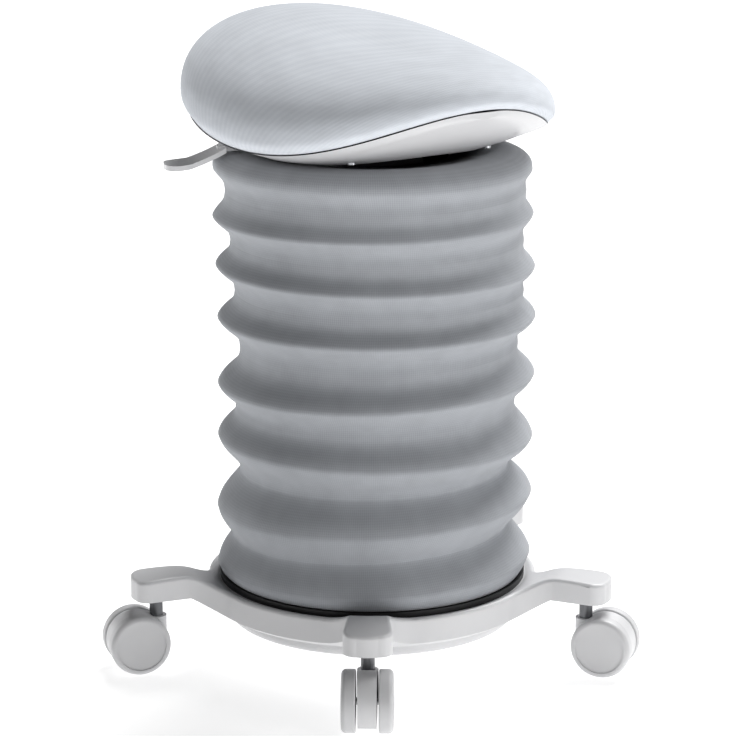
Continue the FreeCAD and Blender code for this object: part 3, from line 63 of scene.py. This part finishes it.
# %% Camera
PHOTO_WIDTH = 736
AXIS_RIGHT_OF_MIDDLE = 4
CAMERA_PLACE = Vector((0, -2.349, 0.837))
CAMERA_TARGET = Vector((0, 0, 0.2406))
camera_data = bpy.data.cameras.new("photo_camera")
camera_data.lens = 143.46
camera_data.sensor_width = 36
camera_data.shift_x = -AXIS_RIGHT_OF_MIDDLE / PHOTO_WIDTH
camera_data.clip_end = 150
camera = bpy.data.objects.new("photo_camera", camera_data)
scene.collection.objects.link(camera)
camera.location = CAMERA_PLACE
gaze = CAMERA_TARGET - CAMERA_PLACE
camera.rotation_euler = gaze.to_track_quat("-Z", "Y").to_euler()
scene.camera = camera
print("camera distance %.3f m" % gaze.length)

# %% [markdown]
# Light: a wide even light from above and behind, which whitens the floor and the seat's top but
# leaves the folds in front dark, a soft box at the right, a faint one in front, a narrow one
# behind at the left that draws the pale edge along the sleeve, and a dim room. The Standard view
# keeps the white sweep white, as the photograph has it.

# %% Lights and room
scene.view_settings.view_transform = "Standard"
room = bpy.data.worlds.new("studio_room")
room.use_nodes = True
room_light = room.node_tree.nodes["Background"]
room_light.inputs["Color"].default_value = (1, 1, 1, 1)
room_light.inputs["Strength"].default_value = 0.07
scene.world = room


def aim(lamp, place, target):
    """Turn a lamp so that it shines from a place towards a target."""
    lamp.rotation_euler = (Vector(target) - Vector(place)).to_track_quat("-Z", "Y").to_euler()


def soft_box(name, place, target, width, height, power):
    """A rectangular area light at a place, turned to a target."""
    data = bpy.data.lights.new(name, "AREA")
    data.shape = "RECTANGLE"
    data.size = width
    data.size_y = height
    data.energy = power
    box = bpy.data.objects.new(name, data)
    scene.collection.objects.link(box)
    box.location = place
    aim(box, place, target)


skylight = bpy.data.lights.new("overhead", "SUN")
skylight.energy = 3.8
skylight.angle = math.radians(35)
overhead = bpy.data.objects.new("overhead", skylight)
scene.collection.objects.link(overhead)
aim(overhead, (0.35, 0.60, 1.0), (0, 0, 0))
soft_box("key_right", (2.0, -1.5, 0.55), (0, 0, 0.25), 0.7, 0.7, 15)
soft_box("front_fill", (-0.5, -2.6, 0.35), (0, 0, 0.1), 1.4, 0.5, 3)
soft_box("rim_left", (-2.0, 1.3, 0.35), (0, 0, 0.25), 0.5, 0.7, 9)

# %% [markdown]
# Colours are written as the hex values that one reads off a screen. The renderer wants linear
# light, so one function turns them. A second small function adds a node with its inputs.


# %% Colour and node helpers
def linear(hex_colour):
    """A screen colour such as D5D9E0 as linear red, green, blue and alpha."""
    values = [int(hex_colour[index:index + 2], 16) / 255 for index in (0, 2, 4)]
    return [v / 12.92 if v < 0.04045 else ((v + 0.055) / 1.055) ** 2.4 for v in values] + [1.0]


def add_node(tree, kind, inputs=None, **settings):
    """One shader node with its settings, and its inputs as values or as other nodes' outputs."""
    node = tree.nodes.new("ShaderNode" + kind)
    for name, value in settings.items():
        setattr(node, name, value)
    for name, value in (inputs or {}).items():
        if isinstance(value, bpy.types.NodeSocket):
            tree.links.new(value, node.inputs[name])
        else:
            node.inputs[name].default_value = value
    return node


def new_finish(name):
    """An empty material, its node tree and its shader."""
    material = bpy.data.materials.new(name)
    material.use_nodes = True
    tree = material.node_tree
    return material, tree, tree.nodes["Principled BSDF"]


print("a white such as E3E3E3 in linear light:", [round(value, 3) for value in linear("E3E3E3")[:3]])

# %% [markdown]
# The floor is a white paper sweep. It glows, so it burns out to plain white round the stool and
# still takes the soft shadows beside the casters.

# %% Floor
sweep = bmesh.new()
bmesh.ops.create_grid(sweep, x_segments=1, y_segments=1, size=45.0)
sweep_mesh = bpy.data.meshes.new("floor")
sweep.to_mesh(sweep_mesh)
sweep.free()
floor = bpy.data.objects.new("floor", sweep_mesh)
scene.collection.objects.link(floor)
paper, tree, shader = new_finish("white_paper_sweep")
paper_fibre = add_node(tree, "TexNoise", {"Scale": 60.0, "Detail": 3.0})
paper_tones = {"Factor": paper_fibre.outputs["Fac"], "A": linear("C6C6C6"), "B": linear("CCCCCC")}
paper_tone = add_node(tree, "Mix", paper_tones, data_type="RGBA")
tree.links.new(paper_tone.outputs["Result"], shader.inputs["Base Color"])
shader.inputs["Roughness"].default_value = 0.9
shader.inputs["Emission Color"].default_value = (1, 1, 1, 1)
shader.inputs["Emission Strength"].default_value = 0.76
floor.data.materials.append(paper)
print("floor: %.0f m square" % floor.dimensions.x)

# %% [markdown]
# Moulded plastic: the base, casters, shell and lever are injection moulded, in white nylon and
# polypropylene. The mould leaves a fine grain, about 0.5 mm, that breaks up the highlights, and
# handling leaves faint greyer patches. Noise at two scales gives both. The same recipe, black
# and coarser, is powder coat and rubber.

# %% Moulded plastics
finishes = {}


def moulded(name, light, dark, roughness, grain_mm, relief_mm):
    """A moulded or coated finish: two close tones, a fine grain and uneven gloss."""
    material, tree, shader = new_finish(name)
    place = add_node(tree, "TexCoord").outputs["Object"]
    patches = add_node(tree, "TexNoise", {"Vector": place, "Scale": 22.0, "Detail": 4.0, "Roughness": 0.6})
    patch = patches.outputs["Fac"]
    tone = add_node(tree, "Mix", {"Factor": patch, "A": linear(light), "B": linear(dark)}, data_type="RGBA")
    grain = add_node(tree, "TexNoise", {"Vector": place, "Scale": 1 / (grain_mm * MM), "Detail": 2.0})
    rise = {"Height": grain.outputs["Fac"], "Distance": relief_mm * MM, "Strength": 1.0}
    relief = add_node(tree, "Bump", rise)
    evenness = {"From Min": 0.3, "From Max": 0.7, "To Min": roughness - 0.05, "To Max": roughness + 0.06}
    gloss = add_node(tree, "MapRange", {"Value": patch, **evenness})
    tree.links.new(tone.outputs["Result"], shader.inputs["Base Color"])
    tree.links.new(gloss.outputs["Result"], shader.inputs["Roughness"])
    tree.links.new(relief.outputs["Normal"], shader.inputs["Normal"])
    shader.inputs["IOR"].default_value = 1.5
    finishes[name] = material


# Glass filled nylon: a satin white whose highlights are wide and soft
moulded("white_base_plastic", "DADADB", "D3D3D5", 0.40, 0.6, 0.05)
# Nylon hoods and wheels: the same white, the treads a little greyer and duller
moulded("white_caster_plastic", "DCDCDD", "D4D4D6", 0.36, 0.6, 0.04)
moulded("white_wheel_plastic", "D6D6D7", "CCCCCE", 0.42, 0.6, 0.05)
# Polypropylene shell and lever: smoother, so the light draws out along the lip
moulded("white_shell_plastic", "D2D2D3", "CCCCCE", 0.34, 0.8, 0.03)
moulded("white_lever_plastic", "DEDEDF", "D4D4D6", 0.36, 0.6, 0.03)
# Black nylon, powder coat and rubber: hardly any shine
moulded("black_pan_plastic", "2A2A2B", "222223", 0.55, 0.8, 0.08)
# The clamp ring's black is painted shade: it gives the dark line of shade in the gap where the sleeve meets
# the base.
moulded("black_clamp_plastic", "1E1E1F", "161617", 0.48, 0.6, 0.05)
moulded("black_painted_steel", "262627", "1D1D1E", 0.45, 0.7, 0.08)
moulded("black_rubber", "1C1C1C", "141414", 0.75, 0.9, 0.08)
print("moulded finishes:", len(finishes))

# %% [markdown]
# Metal: zinc plated screws, ground pins and rods, a drawn spring wire, a chromed cylinder and
# the dull grey stems of the casters. Plating has a cloudy sheen and fine lines along the metal,
# made with noise that is stretched along one axis.


# %% Metals
def plated(name, light, dark, roughness, line_mm):
    """A plated or ground metal: cloudy tone and fine lines round or along the piece."""
    material, tree, shader = new_finish(name)
    place = add_node(tree, "TexCoord").outputs["Object"]
    cloud = add_node(tree, "TexNoise", {"Vector": place, "Scale": 90.0, "Detail": 3.0})
    along = add_node(tree, "Mapping", {"Vector": place, "Scale": (40, 40, 1 / (line_mm * MM))})
    lines = add_node(tree, "TexNoise", {"Vector": along.outputs["Vector"], "Scale": 1.0, "Detail": 2.0})
    line = lines.outputs["Fac"]
    tones = {"Factor": cloud.outputs["Fac"], "A": linear(light), "B": linear(dark)}
    tone = add_node(tree, "Mix", tones, data_type="RGBA")
    evenness = {"Value": line, "To Min": roughness - 0.08, "To Max": roughness + 0.08}
    gloss = add_node(tree, "MapRange", evenness)
    relief = add_node(tree, "Bump", {"Height": line, "Distance": 0.02 * MM, "Strength": 0.6})
    tree.links.new(tone.outputs["Result"], shader.inputs["Base Color"])
    tree.links.new(gloss.outputs["Result"], shader.inputs["Roughness"])
    tree.links.new(relief.outputs["Normal"], shader.inputs["Normal"])
    shader.inputs["Metallic"].default_value = 1.0
    finishes[name] = material


# Zinc plate is cloudy and pale, ground steel brighter, chrome almost a mirror
plated("zinc_steel", "C4C6C8", "A9ACAF", 0.35, 0.4)
plated("bright_steel", "CACBCC", "B4B6B8", 0.25, 0.3)
plated("grey_stem_steel", "7C7D7F", "66676A", 0.42, 0.4)
plated("chromed_steel", "DADBDC", "CDCED0", 0.12, 0.3)
plated("spring_wire", "AEB0B2", "8E9092", 0.32, 0.3)
print("finishes with metals:", len(finishes))

# %% [markdown]
# Knitted cloth: the sleeve is a thin grey stretch knit, its stitches in upright columns. The real
# columns are about 1.2 mm apart, under two pixels here, so they are drawn 1.8 mm apart. The seat's
# ribs are drawn 1.8 mm apart too. The pattern follows a UV map in millimetres, because the sleeve
# stretches with the lift and a pattern in space would slide over it.

# %% Knitted fabrics
WAVE_TURN = 2 * math.pi / 20  # a wave texture of scale 1 repeats every 2 pi / 20 units


def knit(name, light, dark, wale_mm, course_mm, relief_mm, sheen):
    """A knit: columns of stitches across, rows along, on a UV map in millimetres."""
    material, tree, shader = new_finish(name)
    cloth = add_node(tree, "UVMap", uv_map="cloth_mm").outputs["UV"]
    wander = {"Vector": cloth, "Detail": 1.0, "Detail Scale": 1.0}
    column = {**wander, "Scale": WAVE_TURN / wale_mm, "Distortion": 0.6}
    row = {**wander, "Scale": WAVE_TURN / course_mm, "Distortion": 0.5}
    wales = add_node(tree, "TexWave", column, bands_direction="X")
    courses = add_node(tree, "TexWave", row, bands_direction="Y")
    crossing = {"Factor": 0.35, "A": wales.outputs["Fac"], "B": courses.outputs["Fac"]}
    stitches = add_node(tree, "Mix", crossing)
    fibres = add_node(tree, "TexNoise", {"Vector": cloth, "Scale": 1.6, "Detail": 2.0})
    fuzzy = {"Factor": 0.25, "A": stitches.outputs["Result"], "B": fibres.outputs["Fac"]}
    height = add_node(tree, "Mix", fuzzy).outputs["Result"]
    yarns = {"Factor": height, "A": linear(dark), "B": linear(light)}
    thread = add_node(tree, "Mix", yarns, data_type="RGBA")
    drift = add_node(tree, "TexNoise", {"Vector": cloth, "Scale": 0.05, "Detail": 3.0})
    unevenness = {"From Min": 0.3, "From Max": 0.7, "To Min": 0.94, "To Max": 1.04}
    cast = add_node(tree, "MapRange", {"Value": drift.outputs["Fac"], **unevenness})
    dyes = {"Factor": 1.0, "A": thread.outputs["Result"], "B": cast.outputs["Result"]}
    tone = add_node(tree, "Mix", dyes, data_type="RGBA", blend_type="MULTIPLY")
    relief = add_node(tree, "Bump", {"Height": height, "Distance": relief_mm * MM, "Strength": 0.8})
    tree.links.new(tone.outputs["Result"], shader.inputs["Base Color"])
    tree.links.new(relief.outputs["Normal"], shader.inputs["Normal"])
    shader.inputs["Roughness"].default_value = 0.88
    shader.inputs["Sheen Weight"].default_value = sheen
    shader.inputs["Sheen Roughness"].default_value = 0.5
    finishes[name] = material


# Matt polyester jersey for the sleeve, and a ribbed polyester knit for the seat
knit("grey_sleeve_fabric", "A9ACB1", "93969B", 1.8, 2.2, 0.12, 0.15)
knit("blue_grey_seat_fabric", "D6DAE0", "CACFD6", 5.0, 1.8, 0.12, 0.10)

# %% [markdown]
# Every solid of the CAD model now takes the finish that the record names for it. The shapes of
# the base, clamp ring, casters, shell and lever are right already, so only their surface changes.

# %% Dress the frame
for part in frame["record"]["subparts"]:
    solid = frame["nodes"][part["node"]]
    solid.data.materials.clear()
    solid.data.materials.append(finishes[part["material_slot"]])

# %% [markdown]
# Two more helpers. One turns a finished bmesh into an object at the origin, in metres. The other
# reads a value off a line of straight runs between knots, which is all that the sleeve's leaning
# rings need.


# %% Helpers for the pieces
def piece_from(bm, name, finish):
    """Turn a bmesh into a finished piece at the origin, smooth shaded, with one finish."""
    mesh = bpy.data.meshes.new(name)
    bm.to_mesh(mesh)
    bm.free()
    piece = bpy.data.objects.new(name, mesh)
    scene.collection.objects.link(piece)
    mesh.materials.append(finishes[finish])
    mesh.shade_smooth()
    return piece


def between(value, knots, heights):
    """The height at a value, straight from knot to knot."""
    if value <= knots[0]:
        return heights[0]
    for index in range(1, len(knots)):
        if value <= knots[index]:
            share = (value - knots[index - 1]) / (knots[index] - knots[index - 1])
            return heights[index - 1] + share * (heights[index] - heights[index - 1])
    return heights[-1]


print("half way between 10 and 20:", between(1.5, [1, 2], [10, 20]))

# %% [markdown]
# The sleeve is a tube of knit over eight sprung hoops. Between two hoops the cloth falls in, and
# the rolls low down are sharp folds with round backs, while those above are slack and broad. One
# profile is drawn up the side and spun round the column. The hoops don't sit level, so each ring
# is then shifted and leant as the photograph shows it. All lengths here are in millimetres.

# %% Sleeve measurements
SLEEVE_RADIUS = 129.8
SLEEVE_GIRTH = 816.0
RING_HEIGHTS = [82.0, 132.6, 187.2, 235.4, 287.4, 329.5, 371.8, 411.5]
RING_LEAN = [4.5, 6.0, -0.5, 4.2, 0.8, -0.9, 1.2, -0.6]
RING_SHIFT = [1.6, 2.0, 2.6, 3.6, 3.9, 2.6, 0.7, 0.4]
FOLD_DEPTH = [14.5, 18.4, 14.3, 15.2, 11.2, 10.0, 7.3]
FOLD_SHIFT = [-1.5, 1.7, 2.4, 5.8, 5.9, 4.2, 3.0]
FOOT = (124.5, 71.0)
MOUTH = (97.0, 424.8)
MOUTH_HEM = [(88.5, 422.6), (62.0, 420.0)]
folds = [(low + high) / 2 for low, high in zip(RING_HEIGHTS, RING_HEIGHTS[1:])]
lean_knots = [FOOT[1]] + RING_HEIGHTS + [MOUTH[1]]
lean_values = [0.0] + RING_LEAN + [0.0]
shift_knots = sorted([FOOT[1], MOUTH[1]] + RING_HEIGHTS + folds)
shift_values = [0.0] + [v for pair in zip(RING_SHIFT, FOLD_SHIFT) for v in pair] + [RING_SHIFT[-1], 0.0]
print("rings:", len(RING_HEIGHTS), "folds:", len(folds))


# %% Sleeve profile
RIDGE_ROUNDNESS = 19.5  # the larger, the broader the back of a ridge
SHARP_FOLD, SLACK_FOLD = 1.46, 3.4  # powers of the fall from ridge to fold: low down, and added above
SLACK_FROM, SLACK_OVER = 150, 150  # the height where the cloth begins to slacken, and over how much
BEAD_RISE, BEAD_WIDTH = 0.8, 1.8  # the wire that shows through the cloth
FOLD_STEPS, FOOT_STEPS, MOUTH_STEPS = 16, 8, 16
MOUTH_SQUARENESS = 0.8


def fold_profile(ring, fold, height):
    """The sleeve's radius at a height between a ring and the fold beside it."""
    reach = abs(folds[fold] - RING_HEIGHTS[ring])
    away = abs(height - RING_HEIGHTS[ring])
    fall = math.hypot(away, RIDGE_ROUNDNESS) - RIDGE_ROUNDNESS
    share = fall / (math.hypot(reach, RIDGE_ROUNDNESS) - RIDGE_ROUNDNESS)
    slack = min(1.0, max(0.0, (RING_HEIGHTS[ring] - SLACK_FROM) / SLACK_OVER))
    drawn = (1 - min(1.0, share)) ** (SHARP_FOLD + SLACK_FOLD * slack)
    hoop_bead = BEAD_RISE * math.exp(-(away / BEAD_WIDTH) ** 2)
    return SLEEVE_RADIUS - FOLD_DEPTH[fold] * (1 - drawn) + hoop_bead


def sleeve_rows(first, last):
    """Radius and height of each row, from the fold below ring first to the fold above ring last."""
    rows = []
    for ring in range(first, last + 1):
        ridge = RING_HEIGHTS[ring]
        if ring > 0:
            for step in range(FOLD_STEPS):
                turn = math.cos(math.pi / 2 * step / FOLD_STEPS)
                height = ridge - (ridge - folds[ring - 1]) * turn
                rows.append((fold_profile(ring, ring - 1, height), height))
        else:
            for step in range(FOOT_STEPS):
                rise = step / FOOT_STEPS
                radius = FOOT[0] + (SLEEVE_RADIUS - FOOT[0]) * math.sin(math.pi / 2 * rise)
                rows.append((radius, FOOT[1] + (ridge - FOOT[1]) * rise))
        if ring < len(RING_HEIGHTS) - 1:
            for step in range(FOLD_STEPS + (1 if ring == last else 0)):
                turn = math.sin(math.pi / 2 * step / FOLD_STEPS)
                height = ridge + (folds[ring] - ridge) * turn
                rows.append((fold_profile(ring, ring, height), height))
        else:
            for step in range(MOUTH_STEPS + 1):
                bow = math.pi / 2 * step / MOUTH_STEPS
                radius = MOUTH[0] + (SLEEVE_RADIUS - MOUTH[0]) * math.cos(bow) ** MOUTH_SQUARENESS
                rows.append((radius, ridge + (MOUTH[1] - ridge) * math.sin(bow) ** MOUTH_SQUARENESS))
            rows.extend(MOUTH_HEM)
    return rows


def lean_and_shift(place):
    """A point of the level sleeve, in millimetres, moved as its ring leans and sits off centre."""
    radius = math.hypot(place.x, place.y)
    tilt = between(place.z, lean_knots, lean_values) * place.x / max(radius, 1e-6)
    return Vector((place.x + between(place.z, shift_knots, shift_values), place.y, place.z + tilt))


print("rows of the foot roll:", len(sleeve_rows(0, 0)))


# %% Sleeve pieces
SLEEVE_SIDES = 192
MERGE_WITHIN = 0.001
CLOTH_PER_HEIGHT = 1.25  # the folds take up a quarter more cloth than the sleeve is tall
WALL = 1.2
UNEVENNESS, UNEVEN_SCALE = 0.7, 0.018  # a slow wander of the cloth, about 55 mm from bump to bump
EDGE_FADE = 20  # the cloth is held round at the clamp and at the mouth
FOOT_SPAN, SECOND_SPAN, UPPER_SPAN = (FOOT[1], 102.0), (113.5, 158.0), (163.0, 412.0)


def spun(rows, steps):
    """A profile of radius and height, spun round the column's axis and closed."""
    bm = bmesh.new()
    corners = [bm.verts.new((radius, 0, height)) for radius, height in rows]
    edges = [bm.edges.new(pair) for pair in zip(corners, corners[1:])]
    bmesh.ops.spin(bm, geom=corners + edges, cent=(0, 0, 0), axis=(0, 0, 1), angle=2 * math.pi,
                   steps=steps, use_merge=True)
    bmesh.ops.remove_doubles(bm, verts=bm.verts, dist=MERGE_WITHIN)
    bmesh.ops.recalc_face_normals(bm, faces=bm.faces)
    return bm


def point_outwards(bm):
    """Turn the faces of an open tube outwards."""
    face = max(bm.faces, key=lambda item: item.calc_center_median().to_2d().length)
    middle = face.calc_center_median()
    if face.normal.x * middle.x + face.normal.y * middle.y < 0:
        bmesh.ops.reverse_faces(bm, faces=bm.faces)


def lay_cloth_map(bm):
    """A UV map in millimetres: round the sleeve, and up it."""
    layer = bm.loops.layers.uv.new("cloth_mm")
    for face in bm.faces:
        middle = face.calc_center_median()
        base_turn = math.atan2(middle.y, middle.x)
        for loop in face.loops:
            turn = math.atan2(loop.vert.co.y, loop.vert.co.x)
            turn += 2 * math.pi * round((base_turn - turn) / (2 * math.pi))
            around = turn * SLEEVE_GIRTH / (2 * math.pi)
            loop[layer].uv = (around, loop.vert.co.z * CLOTH_PER_HEIGHT)


def make_sleeve(name, first, last, below, above, start, end):
    """One length of the sleeve, from fold to fold; the arguments below and above are not used."""
    bm = spun(sleeve_rows(first, last), SLEEVE_SIDES)
    point_outwards(bm)
    lay_cloth_map(bm)
    for vert in bm.verts:
        wobble = noise.noise(vert.co * UNEVEN_SCALE) * UNEVENNESS
        moved = lean_and_shift(vert.co)
        outward = Vector((vert.co.x, vert.co.y, 0)).normalized()
        from_foot = (vert.co.z - FOOT[1]) / EDGE_FADE
        from_mouth = max(0.0, (MOUTH[1] - vert.co.z) / EDGE_FADE)
        vert.co = (moved + outward * wobble * min(1.0, from_foot, from_mouth)) * MM
    sleeve = piece_from(bm, name, "grey_sleeve_fabric")
    wall = sleeve.modifiers.new("cloth_thickness", "SOLIDIFY")
    wall.thickness = WALL * MM
    wall.offset = -1
    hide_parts("bellows_sleeve")
    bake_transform(sleeve)
    print(name, "faces", len(sleeve.data.polygons))


make_sleeve("sleeve_foot_roll", 0, 0, "base", "gimbal", *FOOT_SPAN)
make_sleeve("sleeve_second_roll", 1, 1, "gimbal", "column", *SECOND_SPAN)
make_sleeve("sleeve_upper_rolls", 2, 7, "column", "lift_carrier", *UPPER_SPAN)

# %% [markdown]
# The hoops are drawn spring wire, sewn in behind each ridge. Each is a small circle spun into a
# ring, and it leans with the cloth that it holds out. They bend over the same heights as the
# sleeve, so they stay behind it.

# %% Hoops
HOOP_RADIUS = 126.6
WIRE_RADIUS = 1.3
WIRE_SIDES, HOOP_SIDES = 8, 120


def make_hoops(name, first, last, below, above, start, end):
    """The hoops of one length of the sleeve."""
    bm = bmesh.new()
    for ring in range(first, last + 1):
        made = bmesh.ops.create_circle(bm, segments=WIRE_SIDES, radius=WIRE_RADIUS)
        out_there = Matrix.Translation((HOOP_RADIUS, 0, RING_HEIGHTS[ring]))
        upright = Matrix.Rotation(math.pi / 2, 4, "X")
        bmesh.ops.transform(bm, matrix=out_there @ upright, verts=made["verts"])
        rim = list({edge for vert in made["verts"] for edge in vert.link_edges})
        bmesh.ops.spin(bm, geom=made["verts"] + rim, cent=(0, 0, RING_HEIGHTS[ring]), axis=(0, 0, 1),
                       angle=2 * math.pi, steps=HOOP_SIDES, use_merge=True)
    bmesh.ops.remove_doubles(bm, verts=bm.verts, dist=MERGE_WITHIN)
    bmesh.ops.recalc_face_normals(bm, faces=bm.faces)
    for vert in bm.verts:
        vert.co = lean_and_shift(vert.co) * MM
    hoops = piece_from(bm, name, "spring_wire")
    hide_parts("support_hoops")
    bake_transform(hoops)
    print(name, "faces", len(hoops.data.polygons))


make_hoops("hoop_foot_roll", 0, 0, "base", "gimbal", *FOOT_SPAN)
make_hoops("hoop_second_roll", 1, 1, "gimbal", "column", *SECOND_SPAN)
make_hoops("hoops_upper_rolls", 2, 7, "column", "lift_carrier", *UPPER_SPAN)

# %% [markdown]
# The cushion is a saddle of foam under a ribbed knit: high at the nose and the tail, low at the
# sides, with its flank rolled over the shell. It starts from a ball, whose rings are drawn out to
# the seat's outline and whose underside settles on the pan.

# %% Cushion form
NOSE_TURN = math.radians(-55.1)
SEAT_SETBACK = -3.9
HALF_LENGTH, HALF_WIDTH = 161.5, 144.7
NOSE_TAPER = 0.035
SEAM_HEIGHT = 457.6
SEAM_WAVES = (-3.1, 15.7, 5.7)  # going once, twice and three times round the seat
CROWN_HEIGHT = 513.7
CROWN_SLOPE, CROWN_ENDS, CROWN_SIDES = -22.8, 23.2, -3.2  # down to the nose, up at both ends
FLANK_ROUNDNESS, FLANK_RISE = 0.7, 0.819  # powers: the smaller, the fuller the flank
FLANK_SWELL = 0.049  # how far the foam rolls out over the seam
TUCK_DEPTH, TUCK_RISE = 0.034, 0.07  # the cloth is drawn in along the seam
UNDER_INSET, UNDER_ROUNDNESS, UNDER_FALL = 0.966, 0.6, 2.2
UNDER_HEIGHT, UNDER_ENDS = 453.2, 17.5
SEAM_LIP = 0.4


def rim_height(turn):
    """The height of the cushion's seam round the seat, 0 at the nose."""
    once, twice, thrice = SEAM_WAVES
    return SEAM_HEIGHT + once * math.cos(turn) + twice * math.cos(2 * turn) + thrice * math.cos(3 * turn)


def cushion_point(turn, lift):
    """A point of the cushion at a turn, and at a lift from -90 below to 90 degrees above the seam."""
    if lift >= 0:
        roundness = math.cos(lift) ** FLANK_ROUNDNESS
        spread = roundness + FLANK_SWELL * math.sin(2 * lift) * (1 - 0.5 * math.sin(lift))
        rise = math.sin(lift) ** FLANK_RISE
        spread -= TUCK_DEPTH * math.exp(-(rise / TUCK_RISE) ** 2)
        along = roundness * math.cos(turn)
        across = roundness * math.sin(turn)
        crown = CROWN_HEIGHT + CROWN_SLOPE * along + CROWN_ENDS * along ** 2 + CROWN_SIDES * across ** 2
        height = rim_height(turn) + (crown - rim_height(turn)) * rise
    else:
        spread = UNDER_INSET * math.cos(lift) ** UNDER_ROUNDNESS
        middle = UNDER_HEIGHT + UNDER_ENDS * (math.cos(turn) * spread) ** 2
        height = middle + (rim_height(turn) + SEAM_LIP - middle) * spread ** UNDER_FALL
    x = HALF_LENGTH * math.cos(turn) * spread
    y = HALF_WIDTH * math.sin(turn) * (1 - NOSE_TAPER * math.cos(turn)) * spread
    return Vector((x + SEAT_SETBACK, y, height))


seat_turn = Matrix.Rotation(NOSE_TURN, 4, "Z")
print("cushion top at the middle %.1f mm" % cushion_point(0, math.pi / 2).z)


# %% Cushion piece
BALL_SIDES, BALL_RINGS = 128, 72
CLOTH_PER_RADIAN = 118  # from the crown down to the underside's middle
RING_CROWDING = 1.4  # above 1, the ball's rings crowd at the seam, where the cushion curves most
POLE = 0.9999


def make_cushion():
    """The seat cushion, with its cloth map flattened from the crown."""
    bm = bmesh.new()
    bmesh.ops.create_uvsphere(bm, u_segments=BALL_SIDES, v_segments=BALL_RINGS, radius=1.0)
    layer = bm.loops.layers.uv.new("cloth_mm")
    for face in bm.faces:
        for loop in face.loops:
            ball = loop.vert.co
            reach = (math.pi / 2 - math.asin(max(-1, min(1, ball.z)))) * CLOTH_PER_RADIAN
            flat = Vector((ball.x, ball.y)).normalized() if abs(ball.z) < POLE else Vector((0, 0))
            loop[layer].uv = flat * reach
    for vert in bm.verts:
        lift = math.asin(max(-1, min(1, vert.co.z)))
        lift = math.copysign(math.pi / 2 * abs(lift / (math.pi / 2)) ** RING_CROWDING, lift)
        turn = math.atan2(vert.co.y, vert.co.x)
        vert.co = seat_turn @ cushion_point(turn, lift) * MM
    bmesh.ops.recalc_face_normals(bm, faces=bm.faces)
    return piece_from(bm, "saddle_cushion", "blue_grey_seat_fabric")


cushion = make_cushion()
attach(cushion, "seat")
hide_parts("seat_cushion")
print("cushion faces:", len(cushion.data.polygons))
